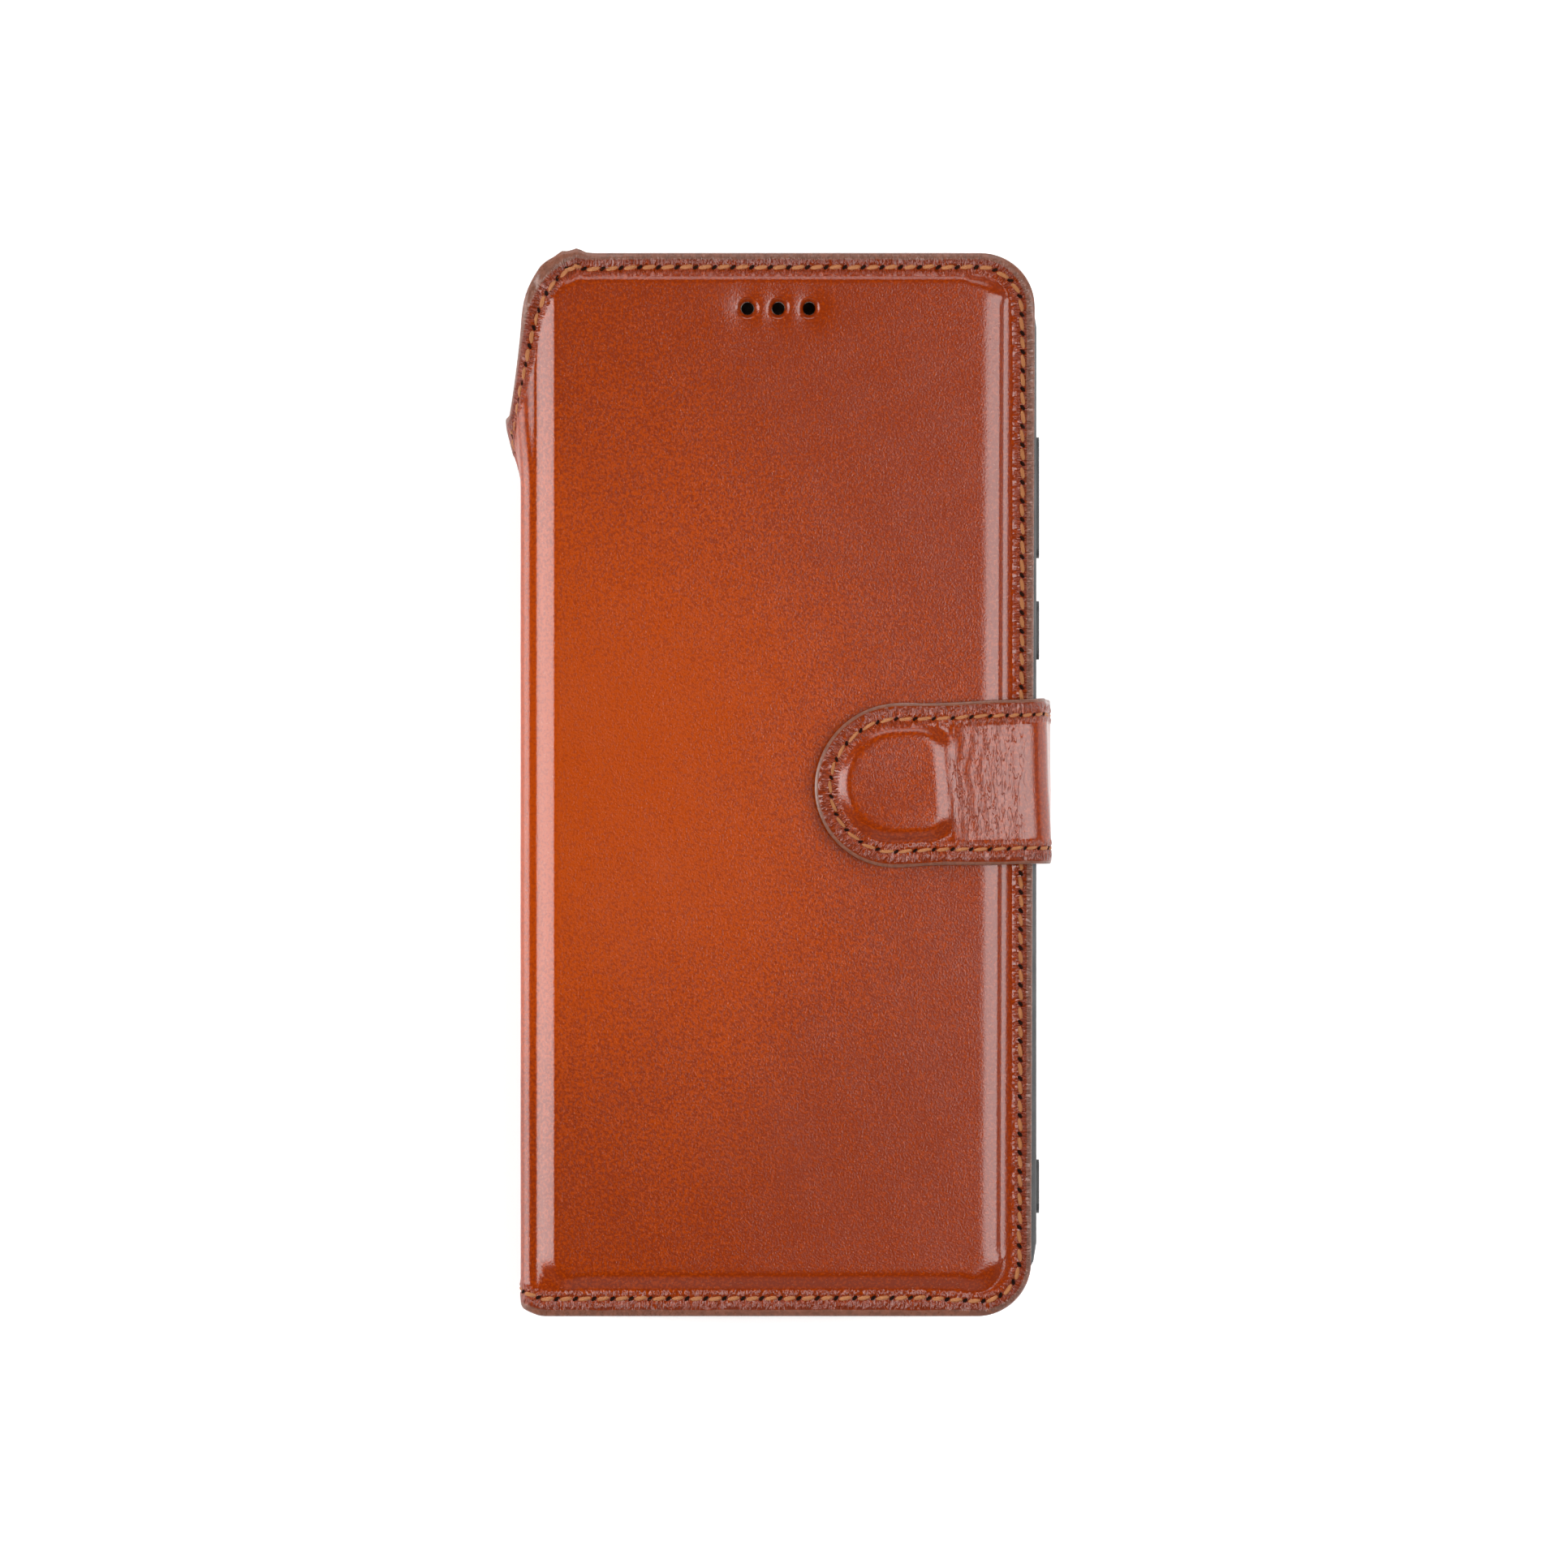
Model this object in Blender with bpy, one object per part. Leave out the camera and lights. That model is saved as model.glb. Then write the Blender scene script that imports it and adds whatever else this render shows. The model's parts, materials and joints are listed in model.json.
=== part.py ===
"""A leather phone wallet case, closed and lying on its back, with a rubber phone tray and a magnetic strap.

Metres, +Z up. X runs across the case from the spine to the free edge, Y along it towards the phone's top.
The origin is the middle of the back panel's outer face.
"""

import math

import bmesh
import bpy

MM = 0.001

# Phone bay and rubber tray
BAY_WIDTH = 73.4 * MM
BAY_LENGTH = 158.4 * MM
BAY_DEPTH = 9.2 * MM
BAY_CORNER = 7.6 * MM
TRAY_WALL = 1.9 * MM
TRAY_FLOOR = 1.3 * MM
TRAY_EDGE_ROUND = 0.7 * MM
LIP_THICKNESS = 0.9 * MM
LIP_REACH = 0.8 * MM
WINDOW_WIDTH = 14.0 * MM
WINDOW_LENGTH = 24.4 * MM
WINDOW_BELOW_TOP = 8.7 * MM
PORT_WIDTH = 14.0 * MM
PORT_HEIGHT = 6.4 * MM
SPEAKER_SLOT_WIDTH = 12.0 * MM
SPEAKER_SLOT_HEIGHT = 2.2 * MM
SPEAKER_SLOT_GAP = 4.0 * MM
MICROPHONE_RADIUS = 0.9 * MM
MICROPHONE_OFFSET = 12.0 * MM

# Keys on the tray's free side: name, centre along Y from the bay's middle, length
KEYS = (("volume_key_pad", 45.0 * MM, 19.0 * MM), ("power_key_pad", 24.2 * MM, 9.2 * MM),
        ("camera_key_pad", -63.0 * MM, 8.4 * MM))
KEY_HEIGHT = 3.0 * MM
KEY_STANDS_OUT = 0.5 * MM
KEY_SET_BACK = 0.2 * MM
KEY_CLEARANCE = 0.3 * MM

# Sheet thicknesses
LEATHER = 1.2 * MM
STRAP_LEATHER = 1.0 * MM
BACK_BOARD = 0.8 * MM
FRONT_BOARD = 1.3 * MM
BACK_LINING = 0.8 * MM
SOFT_LINING = 0.6 * MM
POCKET_LEATHER = 0.6 * MM
BONDING_SHEET = 0.3 * MM
GLUE = 0.1 * MM

# Case body
FOLD_RADIUS = 3.0 * MM
FOLD_GAP = 0.3 * MM
TRAY_TO_FOLD = 0.4 * MM
TRAY_SHOWS = 0.6 * MM
COVER_OVERHANG = 1.9 * MM
COVER_CORNER = 8.5 * MM
COVER_CLEARANCE = 0.4 * MM
COVER_EDGE_ROUND = 0.35 * MM
SEAM_INSET = 2.2 * MM
BOARD_INSET = 3.6 * MM

# Raised panel of the front cover
PANEL_FROM_EDGE = 4.6 * MM
PANEL_FROM_FOLD = 0.2 * MM
PANEL_FROM_TOP = 3.0 * MM
PANEL_FROM_FOOT = 5.0 * MM
PANEL_CORNER = 3.8 * MM
PANEL_EDGE_ROUND = 0.9 * MM

# Earpiece holes through the front cover
EARPIECE_COUNT = 3
EARPIECE_RADIUS = 1.0 * MM
EARPIECE_PITCH = 4.8 * MM
EARPIECE_OFF_CENTRE = 0.2 * MM
EARPIECE_BELOW_TOP = 8.7 * MM

# Camera notch, cut from the front fold round the spine into the back panel
NOTCH_FROM_SPINE = 11.0 * MM
NOTCH_RAMP = 25.0 * MM
NOTCH_DEPTH = 38.0 * MM
NOTCH_SIDE_FROM_SPINE = 58.0 * MM
NOTCH_FOOT_ROUND = 12.0 * MM
NOTCH_MOUTH_ROUND = 4.0 * MM
NOTCH_STEPS = 24
WALL_STEPS = 12
UNSEWN_STEPS = 2

# Strap and clasp
STRAP_WIDTH = 25.4 * MM
STRAP_SIDE_CLEARANCE = 1.0 * MM
STRAP_TOP_CLEARANCE = 0.3 * MM
STRAP_FOLD_RADIUS = 4.0 * MM
STRAP_FOOT_RADIUS = 2.2 * MM
STRAP_OFF_GROUND = 0.4 * MM
STRAP_REACH = 37.4 * MM
STRAP_SEAM_INSET = 2.5 * MM
TONGUE_LENGTH = 10.6 * MM
TONGUE_THICKNESS = 0.7 * MM
TONGUE_STANDS_OUT = 0.6 * MM
HOUSING_WIDTH = 14.7 * MM
HOUSING_THICKNESS = 1.5 * MM
HOUSING_ROUND = 7.5 * MM
HOUSING_SQUARE_CORNER = 1.2 * MM
HOUSING_FROM_TIP = 5.6 * MM
MAGNET_RADIUS = 5.8 * MM
MAGNET_THICKNESS = 1.3 * MM
KEEPER_RADIUS = 7.0 * MM
KEEPER_THICKNESS = 0.8 * MM
FIT = 0.15 * MM

# Pockets inside the front cover
POCKETS = ("card_pocket_upper", "card_pocket_middle", "card_pocket_lower")
POCKET_LENGTH = 94.0 * MM
POCKET_FROM_FOLD = 7.0 * MM
POCKET_STEP = 8.0 * MM
POCKET_FROM_EDGE = 4.0 * MM
POCKET_CORNER = 2.0 * MM
POCKET_SEAM_INSET = 1.6 * MM
CASH_FROM_FOLD = 3.0 * MM
CASH_FROM_TOP = 16.0 * MM
CASH_FROM_FOOT = 4.0 * MM

# Thread
THREAD = 0.3 * MM
THREAD_GROOVE = 0.42 * MM
THREAD_SUNK = 0.1 * MM
THREAD_FLUSH = 0.36 * MM
POCKET_THREAD = 0.18 * MM
POCKET_GROOVE = 0.3 * MM
THREAD_END_GAP = 0.3 * MM

PAST = 2.0 * MM
CORNER_STEPS = 5
CIRCLE_STEPS = 32
HOLE_STEPS = 16
SHARP_ANGLE = math.radians(30)

# Places worked out from the sizes above
TRAY_WIDTH = BAY_WIDTH + 2 * TRAY_WALL
TRAY_LENGTH = BAY_LENGTH + 2 * TRAY_WALL
CASE_WIDTH = FOLD_RADIUS + TRAY_TO_FOLD + TRAY_WIDTH - TRAY_SHOWS
CASE_LENGTH = TRAY_LENGTH + 2 * COVER_OVERHANG
SPINE_X = -CASE_WIDTH / 2
EDGE_X = CASE_WIDTH / 2
TOP_Y = CASE_LENGTH / 2
FOOT_Y = -TOP_Y
FOLD_X = SPINE_X + FOLD_RADIUS
PANEL_X = FOLD_X + FOLD_GAP
TRAY_X = (FOLD_X + TRAY_TO_FOLD + EDGE_X + TRAY_SHOWS) / 2
TRAY_EDGE_X = TRAY_X + TRAY_WIDTH / 2

BACK_BOARD_Z = LEATHER + GLUE
BACK_LINING_Z = BACK_BOARD_Z + BACK_BOARD + GLUE
BONDING_Z = BACK_LINING_Z + BACK_LINING + GLUE
TRAY_Z = BONDING_Z + BONDING_SHEET + GLUE
BAY_Z = TRAY_Z + TRAY_FLOOR
BAY_TOP_Z = BAY_Z + BAY_DEPTH
TRAY_TOP_Z = BAY_TOP_Z + LIP_THICKNESS
KEY_Z = BAY_Z + BAY_DEPTH / 2
POCKET_Z = TRAY_TOP_Z + COVER_CLEARANCE
CASH_Z = POCKET_Z + len(POCKETS) * (POCKET_LEATHER + GLUE)
FRONT_LINING_Z = CASH_Z + POCKET_LEATHER + GLUE
RIM_Z = FRONT_LINING_Z + SOFT_LINING + GLUE
RIM_TOP_Z = RIM_Z + LEATHER
BOARD_TOP_Z = RIM_Z + FRONT_BOARD
PANEL_TOP_Z = BOARD_TOP_Z + GLUE + LEATHER
STRAP_LINING_Z = PANEL_TOP_Z + STRAP_TOP_CLEARANCE
STRAP_LEATHER_Z = STRAP_LINING_Z + SOFT_LINING + GLUE
STRAP_TOP_Z = STRAP_LEATHER_Z + STRAP_LEATHER
HOUSING_TOP_Z = STRAP_LEATHER_Z + HOUSING_THICKNESS
BUMP_TOP_Z = HOUSING_TOP_Z + GLUE + STRAP_LEATHER

STRAP_OUT_X = TRAY_EDGE_X + STRAP_SIDE_CLEARANCE + SOFT_LINING + GLUE + STRAP_LEATHER
STRAP_FOLD_X = STRAP_OUT_X - STRAP_FOLD_RADIUS
STRAP_TIP_X = STRAP_OUT_X - STRAP_REACH
TAB_END_X = STRAP_FOLD_X - FOLD_GAP
TONGUE_END_X = EDGE_X + TONGUE_STANDS_OUT
HOUSING_X = STRAP_TIP_X + HOUSING_FROM_TIP
MAGNET_X = HOUSING_X + HOUSING_ROUND

# Fold axes, along Y: (x, z)
SPINE_AXIS = ((FOLD_X + PANEL_X) / 2, 0.0)
COVER_AXIS = ((FOLD_X + PANEL_X) / 2, (RIM_TOP_Z + PANEL_TOP_Z + FOLD_GAP) / 2)
STRAP_FOOT_AXIS = ((TONGUE_END_X + STRAP_OUT_X - STRAP_FOOT_RADIUS) / 2, 0.0)
STRAP_TOP_AXIS = ((TAB_END_X + STRAP_FOLD_X) / 2, STRAP_TOP_Z + FOLD_GAP)

COLOURS = {
    "leather": ((0.45, 0.11, 0.02, 1), 0.35, 0.0),
    "lining": ((0.36, 0.14, 0.06, 1), 0.75, 0.0),
    "board": ((0.36, 0.31, 0.25, 1), 0.9, 0.0),
    "rubber": ((0.02, 0.02, 0.022, 1), 0.55, 0.0),
    "adhesive": ((0.6, 0.6, 0.58, 1), 0.5, 0.0),
    "thread": ((0.62, 0.24, 0.07, 1), 0.7, 0.0),
    "plastic": ((0.08, 0.08, 0.09, 1), 0.5, 0.0),
    "steel": ((0.6, 0.6, 0.62, 1), 0.35, 1.0),
}


def clear_scene():
    """Leaves an empty scene with a collection for the parts and one for the cutters."""
    for obj in list(bpy.data.objects):
        bpy.data.objects.remove(obj, do_unlink=True)
    made = []
    for name in ("phone_wallet_case", "cutters"):
        made.append(bpy.data.collections.new(name))
        bpy.context.scene.collection.children.link(made[-1])
    return made


PARTS, CUTTERS = clear_scene()


def make_material(name):
    colour, roughness, metallic = COLOURS[name]
    material = bpy.data.materials.new(name)
    material.use_nodes = True
    shader = material.node_tree.nodes["Principled BSDF"]
    shader.inputs["Base Color"].default_value = colour
    shader.inputs["Roughness"].default_value = roughness
    shader.inputs["Metallic"].default_value = metallic
    return material


MATERIALS = {name: make_material(name) for name in COLOURS}


# Outlines

def rounded(corners, steps=CORNER_STEPS):
    """Points of a polygon given as (x, y, radius) corners, each corner turned into an arc of its radius."""
    points = []
    for i, (x, y, radius) in enumerate(corners):
        before = corners[i - 1]
        after = corners[(i + 1) % len(corners)]
        if radius == 0:
            points.append((x, y))
            continue
        back = math.atan2(before[1] - y, before[0] - x)
        ahead = math.atan2(after[1] - y, after[0] - x)
        turn = (ahead - back + math.pi) % (2 * math.pi) - math.pi
        tangent = radius / math.tan(abs(turn) / 2)
        middle = back + turn / 2
        centre_off = radius / math.sin(abs(turn) / 2)
        centre = (x + centre_off * math.cos(middle), y + centre_off * math.sin(middle))
        start = math.atan2(y + tangent * math.sin(back) - centre[1], x + tangent * math.cos(back) - centre[0])
        end = math.atan2(y + tangent * math.sin(ahead) - centre[1], x + tangent * math.cos(ahead) - centre[0])
        sweep = (end - start + math.pi) % (2 * math.pi) - math.pi
        for k in range(steps + 1):
            angle = start + sweep * k / steps
            points.append((centre[0] + radius * math.cos(angle), centre[1] + radius * math.sin(angle)))
    return points


def rectangle(left, foot, right, top, radius, steps=CORNER_STEPS):
    """A rounded rectangle's points, counterclockwise."""
    corners = ((left, foot), (right, foot), (right, top), (left, top))
    return rounded([(x, y, radius) for x, y in corners], steps)


def circle(x, y, radius, steps=HOLE_STEPS):
    """A circle's points, counterclockwise."""
    turns = [2 * math.pi * k / steps for k in range(steps)]
    return [(x + radius * math.cos(a), y + radius * math.sin(a)) for a in turns]


def notch_line(inset=0.0):
    """The notch's edge in the flat leather, from its start to its full depth, inset into the leather.

    Each point is (length along the leather from the notch's start, depth below the case's top).
    """
    line = []
    for k in range(NOTCH_STEPS + 1):
        turn = math.pi * k / NOTCH_STEPS
        rise = (1 - math.cos(turn)) / 2
        slope = NOTCH_DEPTH * rise * math.sin(turn) * math.pi / NOTCH_RAMP
        length = math.hypot(1, slope)
        line.append((NOTCH_RAMP * k / NOTCH_STEPS - inset * slope / length,
                     NOTCH_DEPTH * rise ** 2 + inset / length))
    return line


def notch_depth(along, inset=0.0):
    """How far below the case's top the notch's inset edge lies, at a length along the leather."""
    line = notch_line(inset)
    if along >= line[-1][0]:
        return line[-1][1]
    for (start, depth), (end, next_depth) in zip(line, line[1:]):
        if along <= end:
            return depth + (next_depth - depth) * max(along - start, 0) / (end - start)
    return line[-1][1]


def front_outline(inset=0.0):
    """The front cover's outline, inset from its free edges, with the notch's start cut off its corner."""
    radius = COVER_CORNER - inset
    start_x = SPINE_X + NOTCH_FROM_SPINE
    points = rounded([
        (PANEL_X, FOOT_Y + inset, 0),
        (EDGE_X - inset, FOOT_Y + inset, radius),
        (EDGE_X - inset, TOP_Y - inset, radius),
        (start_x, TOP_Y - inset, 0),
    ])
    for along, depth in notch_line(inset)[1:]:
        if 0 < start_x - along - PANEL_X:
            points.append((start_x - along, TOP_Y - depth))
    points.append((PANEL_X, TOP_Y - notch_depth(start_x - PANEL_X, inset)))
    return points


def back_outline(inset=0.0, fold_inset=0.0):
    """The back panel's outline with its camera notch, inset from its free edges and from the fold."""
    radius = COVER_CORNER - inset
    notch_x = SPINE_X + NOTCH_SIDE_FROM_SPINE + inset
    notch_y = TOP_Y - NOTCH_DEPTH - inset
    return rounded([
        (PANEL_X + fold_inset, FOOT_Y + inset, 0),
        (EDGE_X - inset, FOOT_Y + inset, radius),
        (EDGE_X - inset, TOP_Y - inset, radius),
        (notch_x, TOP_Y - inset, NOTCH_MOUTH_ROUND),
        (notch_x, notch_y, NOTCH_FOOT_ROUND),
        (PANEL_X + fold_inset, notch_y, 0),
    ])


def panel_outline(inset=0.0):
    """The raised panel of the front cover."""
    radius = PANEL_CORNER - min(inset, PANEL_CORNER / 2)
    return rectangle(PANEL_X + PANEL_FROM_FOLD + inset, FOOT_Y + PANEL_FROM_FOOT + inset,
                     EDGE_X - PANEL_FROM_EDGE - inset, TOP_Y - PANEL_FROM_TOP - inset, radius)


def tray_outline(inset=0.0):
    """The tray's outline, inset from its outer face."""
    half_width = TRAY_WIDTH / 2 - inset
    half_length = TRAY_LENGTH / 2 - inset
    radius = BAY_CORNER + TRAY_WALL - inset
    return rectangle(TRAY_X - half_width, -half_length, TRAY_X + half_width, half_length, radius)


def tab_outline(inset=0.0, end_x=None):
    """The strap's tab, with a half-round tip, inset from its free edges."""
    half = STRAP_WIDTH / 2 - inset
    tip = STRAP_TIP_X + inset
    end = TAB_END_X if end_x is None else end_x
    return rounded([(end, half, 0), (tip, half, half), (tip, -half, half), (end, -half, 0)], 2 * CORNER_STEPS)


def housing_outline(grown=0.0):
    """The D-shaped magnet housing, grown all round."""
    left = HOUSING_X - grown
    right = HOUSING_X + HOUSING_WIDTH + grown
    half = HOUSING_ROUND + grown
    corner = HOUSING_SQUARE_CORNER + grown
    return rounded([(left, -half, half), (right, -half, corner), (right, half, corner), (left, half, half)])


def shell_section(x, low, high, low_radius, high_radius, sunk, thickness, side):
    """The (x, z) outline of a sheet that wraps an edge: foot fold, upright wall and top fold.

    x, low and high are the outer face of the whole wrap, sunk is how far inside it this sheet's outer face
    lies, and side is 1 where the wrap opens towards +X and -1 where it opens towards -X.
    """
    def run(depth):
        points = []
        for k in range(CORNER_STEPS + 1):
            turn = math.pi / 2 * k / CORNER_STEPS
            radius = low_radius - depth
            points.append((low_radius - radius * math.sin(turn), low + low_radius - radius * math.cos(turn)))
        for k in range(CORNER_STEPS + 1):
            turn = math.pi / 2 * k / CORNER_STEPS
            radius = high_radius - depth
            points.append((high_radius - radius * math.cos(turn), high - high_radius + radius * math.sin(turn)))
        return [(x + side * across, z) for across, z in points]
    return run(sunk) + run(sunk + thickness)[::-1]


# Shapes

def make_smooth(mesh):
    mesh.shade_smooth()
    mesh.set_sharp_from_angle(angle=SHARP_ANGLE)


def link(obj, collection, material=None):
    collection.objects.link(obj)
    if material:
        obj.data.materials.append(MATERIALS[material])
    if collection is CUTTERS:
        obj.hide_render = True
        obj.display_type = "WIRE"
    return obj


def fill_curve(name, outlines, thickness, edge_round=0.0):
    """A flat 2D curve of closed outlines, filled and extruded about its own plane."""
    curve = bpy.data.curves.new(name, "CURVE")
    curve.dimensions = "2D"
    curve.fill_mode = "BOTH"
    curve.extrude = thickness / 2 - edge_round
    curve.bevel_depth = edge_round
    curve.offset = -edge_round
    curve.bevel_resolution = 1
    for outline in outlines:
        spline = curve.splines.new("POLY")
        spline.points.add(len(outline) - 1)
        for point, (x, y) in zip(spline.points, outline):
            point.co = (x, y, 0, 1)
        spline.use_cyclic_u = True
    return bpy.data.objects.new(name, curve)


def as_mesh(obj):
    """The same object as a mesh, with its caps welded to its sides."""
    collection = obj.users_collection[0]
    graph = bpy.context.evaluated_depsgraph_get()
    mesh = bpy.data.meshes.new_from_object(obj.evaluated_get(graph))
    work = bmesh.new()
    work.from_mesh(mesh)
    bmesh.ops.remove_doubles(work, verts=work.verts, dist=1e-6)
    bmesh.ops.recalc_face_normals(work, faces=work.faces)
    work.to_mesh(mesh)
    work.free()
    make_smooth(mesh)
    name = obj.name
    matrix = obj.matrix_world.copy()
    bpy.data.objects.remove(obj, do_unlink=True)
    made = bpy.data.objects.new(name, mesh)
    made.matrix_world = matrix
    collection.objects.link(made)
    if collection is CUTTERS:
        made.hide_render = True
        made.display_type = "WIRE"
    return made


def plate(name, outline, low, thickness, material, holes=(), edge_round=0.0, collection=None):
    """A flat sheet lying in XY, from low to low + thickness."""
    obj = fill_curve(name, [outline, *holes], thickness, edge_round)
    obj.location.z = low + thickness / 2
    return link(obj, collection or PARTS, material)


def primitive(name, work, place, material, collection):
    """Turns a bmesh primitive into an object at its place."""
    mesh = bpy.data.meshes.new(name)
    work.to_mesh(mesh)
    work.free()
    make_smooth(mesh)
    obj = bpy.data.objects.new(name, mesh)
    obj.location = place
    return link(obj, collection or PARTS, material)


def disc(name, x, y, radius, low, thickness, material, steps=CIRCLE_STEPS, collection=None):
    """A round plate or pin lying in XY."""
    work = bmesh.new()
    bmesh.ops.create_cone(work, cap_ends=True, segments=steps, radius1=radius, radius2=radius, depth=thickness)
    return primitive(name, work, (x, y, low + thickness / 2), material, collection)


def box(name, low, high, material, collection=None):
    """A box between two corners."""
    work = bmesh.new()
    bmesh.ops.create_cube(work, size=1)
    bmesh.ops.scale(work, verts=work.verts, vec=[b - a for a, b in zip(low, high)])
    return primitive(name, work, [(a + b) / 2 for a, b in zip(low, high)], material, collection)


def block_cutter(name, outline, low, high):
    """A prism that stands on an XY outline, for cutting."""
    obj = plate(name, outline, low, high - low, None, collection=CUTTERS)
    bpy.context.view_layer.update()
    return as_mesh(obj)


def side_prism(name, section, centre_y, length, material, collection=None):
    """A prism along Y with an (x, z) section."""
    obj = fill_curve(name, [section], length)
    obj.rotation_euler.x = math.pi / 2
    obj.location.y = centre_y
    return link(obj, collection or PARTS, material)


def tube(name, points, radius, material, collection=None, cyclic=False):
    """A round thread through a list of points."""
    curve = bpy.data.curves.new(name, "CURVE")
    curve.dimensions = "3D"
    curve.bevel_depth = radius
    curve.bevel_resolution = 1
    curve.use_fill_caps = True
    spline = curve.splines.new("POLY")
    spline.points.add(len(points) - 1)
    for point, place in zip(spline.points, points):
        point.co = (*place, 1)
    spline.use_cyclic_u = cyclic
    return link(bpy.data.objects.new(name, curve), collection or PARTS, material)


def boolean(obj, other, operation="DIFFERENCE", solver="EXACT"):
    modifier = obj.modifiers.new(f"{operation.lower()} {other.name}", "BOOLEAN")
    modifier.operation = operation
    modifier.solver = solver
    modifier.object = other


def stretched(points, ends):
    """The path with both ends moved outwards along their own runs, or inwards by a negative length."""
    path = [list(p) for p in points]
    for end, neighbour in ((0, 1), (-1, -2)):
        run = [a - b for a, b in zip(points[end], points[neighbour])]
        length = math.hypot(*run)
        path[end] = [a + r / length * ends for a, r in zip(points[end], run)]
    return path


def sew(name, piece, points, radius=THREAD, groove=THREAD_GROOVE, cyclic=False):
    """Lays a thread along a path in a groove cut for it in a piece."""
    path = points if cyclic else stretched(points, PAST)
    cutter = tube(f"{name}_groove", path, groove, None, CUTTERS, cyclic)
    bpy.context.view_layer.update()
    boolean(piece, as_mesh(cutter), solver="MANIFOLD")
    thread = points if cyclic else stretched(points, -THREAD_END_GAP)
    return tube(name, thread, radius, "thread", cyclic=cyclic)


# Back cover

def build_back_cover():
    leather = plate("back_outer_leather", back_outline(), 0, LEATHER, "leather", edge_round=COVER_EDGE_ROUND)
    bpy.context.view_layer.update()
    leather = as_mesh(leather)
    seam = [(x, y, THREAD_FLUSH) for x, y in back_outline(SEAM_INSET, SEAM_INSET)]
    sew("back_panel_stitching", leather, seam, cyclic=True)

    outline = back_outline(BOARD_INSET, BOARD_INSET)
    board = plate("back_stiffener_board", outline, BACK_BOARD_Z, BACK_BOARD, "board")
    bpy.context.view_layer.update()
    board = as_mesh(board)
    half = STRAP_WIDTH / 2
    tongue_x = TONGUE_END_X - TONGUE_LENGTH
    boolean(board, box("tongue_room", (tongue_x - FIT, -half - FIT, BACK_BOARD_Z - PAST),
                       (EDGE_X + PAST, half + FIT, BACK_LINING_Z + PAST), None, CUTTERS))
    middle = (LEATHER + BACK_LINING_Z) / 2
    box("strap_root_tongue", (tongue_x, -half, middle - TONGUE_THICKNESS / 2),
        (TONGUE_END_X, half, middle + TONGUE_THICKNESS / 2), "leather")

    plate("back_lining", back_outline(), BACK_LINING_Z, BACK_LINING, "lining")
    bonding = rectangle(TRAY_X - TRAY_WIDTH / 2 + BOARD_INSET, -TRAY_LENGTH / 2 + BOARD_INSET,
                        TRAY_X + TRAY_WIDTH / 2 - BOARD_INSET, TOP_Y - NOTCH_DEPTH - BOARD_INSET,
                        BAY_CORNER)
    plate("tray_bonding_sheet", bonding, BONDING_Z, BONDING_SHEET, "adhesive")


def build_tray():
    height = TRAY_TOP_Z - TRAY_Z
    tray = plate("phone_tray", tray_outline(), TRAY_Z, height, "rubber", edge_round=TRAY_EDGE_ROUND)
    bpy.context.view_layer.update()
    tray = as_mesh(tray)
    boolean(tray, block_cutter("bay", tray_outline(TRAY_WALL), BAY_Z, BAY_TOP_Z))
    mouth = tray_outline(TRAY_WALL + LIP_REACH)
    boolean(tray, block_cutter("mouth", mouth, BAY_TOP_Z - PAST, TRAY_TOP_Z + PAST))

    top = TRAY_LENGTH / 2 - TRAY_WALL - WINDOW_BELOW_TOP
    half = WINDOW_WIDTH / 2
    window = rectangle(-half, top - WINDOW_LENGTH, half, top, half)
    boolean(tray, block_cutter("camera_window", window, TRAY_Z - PAST, BAY_Z + PAST))

    foot = -TRAY_LENGTH / 2 + TRAY_WALL / 2
    openings = (
        ("port", TRAY_X, foot, PORT_WIDTH, PORT_HEIGHT),
        ("speaker_slot", TRAY_X + (PORT_WIDTH + SPEAKER_SLOT_WIDTH) / 2 + SPEAKER_SLOT_GAP, foot,
         SPEAKER_SLOT_WIDTH, SPEAKER_SLOT_HEIGHT),
        ("microphone", TRAY_X + MICROPHONE_OFFSET, -foot, 2 * MICROPHONE_RADIUS, 2 * MICROPHONE_RADIUS),
    )
    for name, x, y, width, height in openings:
        round_end = height / 2 - 0.01 * MM
        section = rectangle(x - width / 2, KEY_Z - height / 2, x + width / 2, KEY_Z + height / 2, round_end)
        cutter = side_prism(name, section, y, TRAY_WALL + 2 * PAST, None, CUTTERS)
        bpy.context.view_layer.update()
        boolean(tray, as_mesh(cutter))

    for name, y, length in KEYS:
        cutter = key_prism(f"{name}_slot", y, length + 2 * KEY_CLEARANCE, KEY_HEIGHT + 2 * KEY_CLEARANCE,
                           TRAY_EDGE_X - TRAY_WALL - PAST, TRAY_EDGE_X + PAST, None, CUTTERS)
        bpy.context.view_layer.update()
        boolean(tray, as_mesh(cutter))
        key_prism(name, y, length, KEY_HEIGHT, TRAY_EDGE_X - TRAY_WALL + KEY_SET_BACK,
                  TRAY_EDGE_X + KEY_STANDS_OUT, "rubber", PARTS)


def key_prism(name, y, length, height, inner_x, outer_x, material, collection):
    """A round-ended bar along Y, long enough along X to go through the tray's wall."""
    section = rectangle(-height / 2, -length / 2, height / 2, length / 2, height / 2 - 0.01 * MM, 4)
    obj = fill_curve(name, [section], outer_x - inner_x)
    obj.rotation_euler.y = math.pi / 2
    obj.location = ((inner_x + outer_x) / 2, y, KEY_Z)
    return link(obj, collection, material)


# Spine

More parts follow.
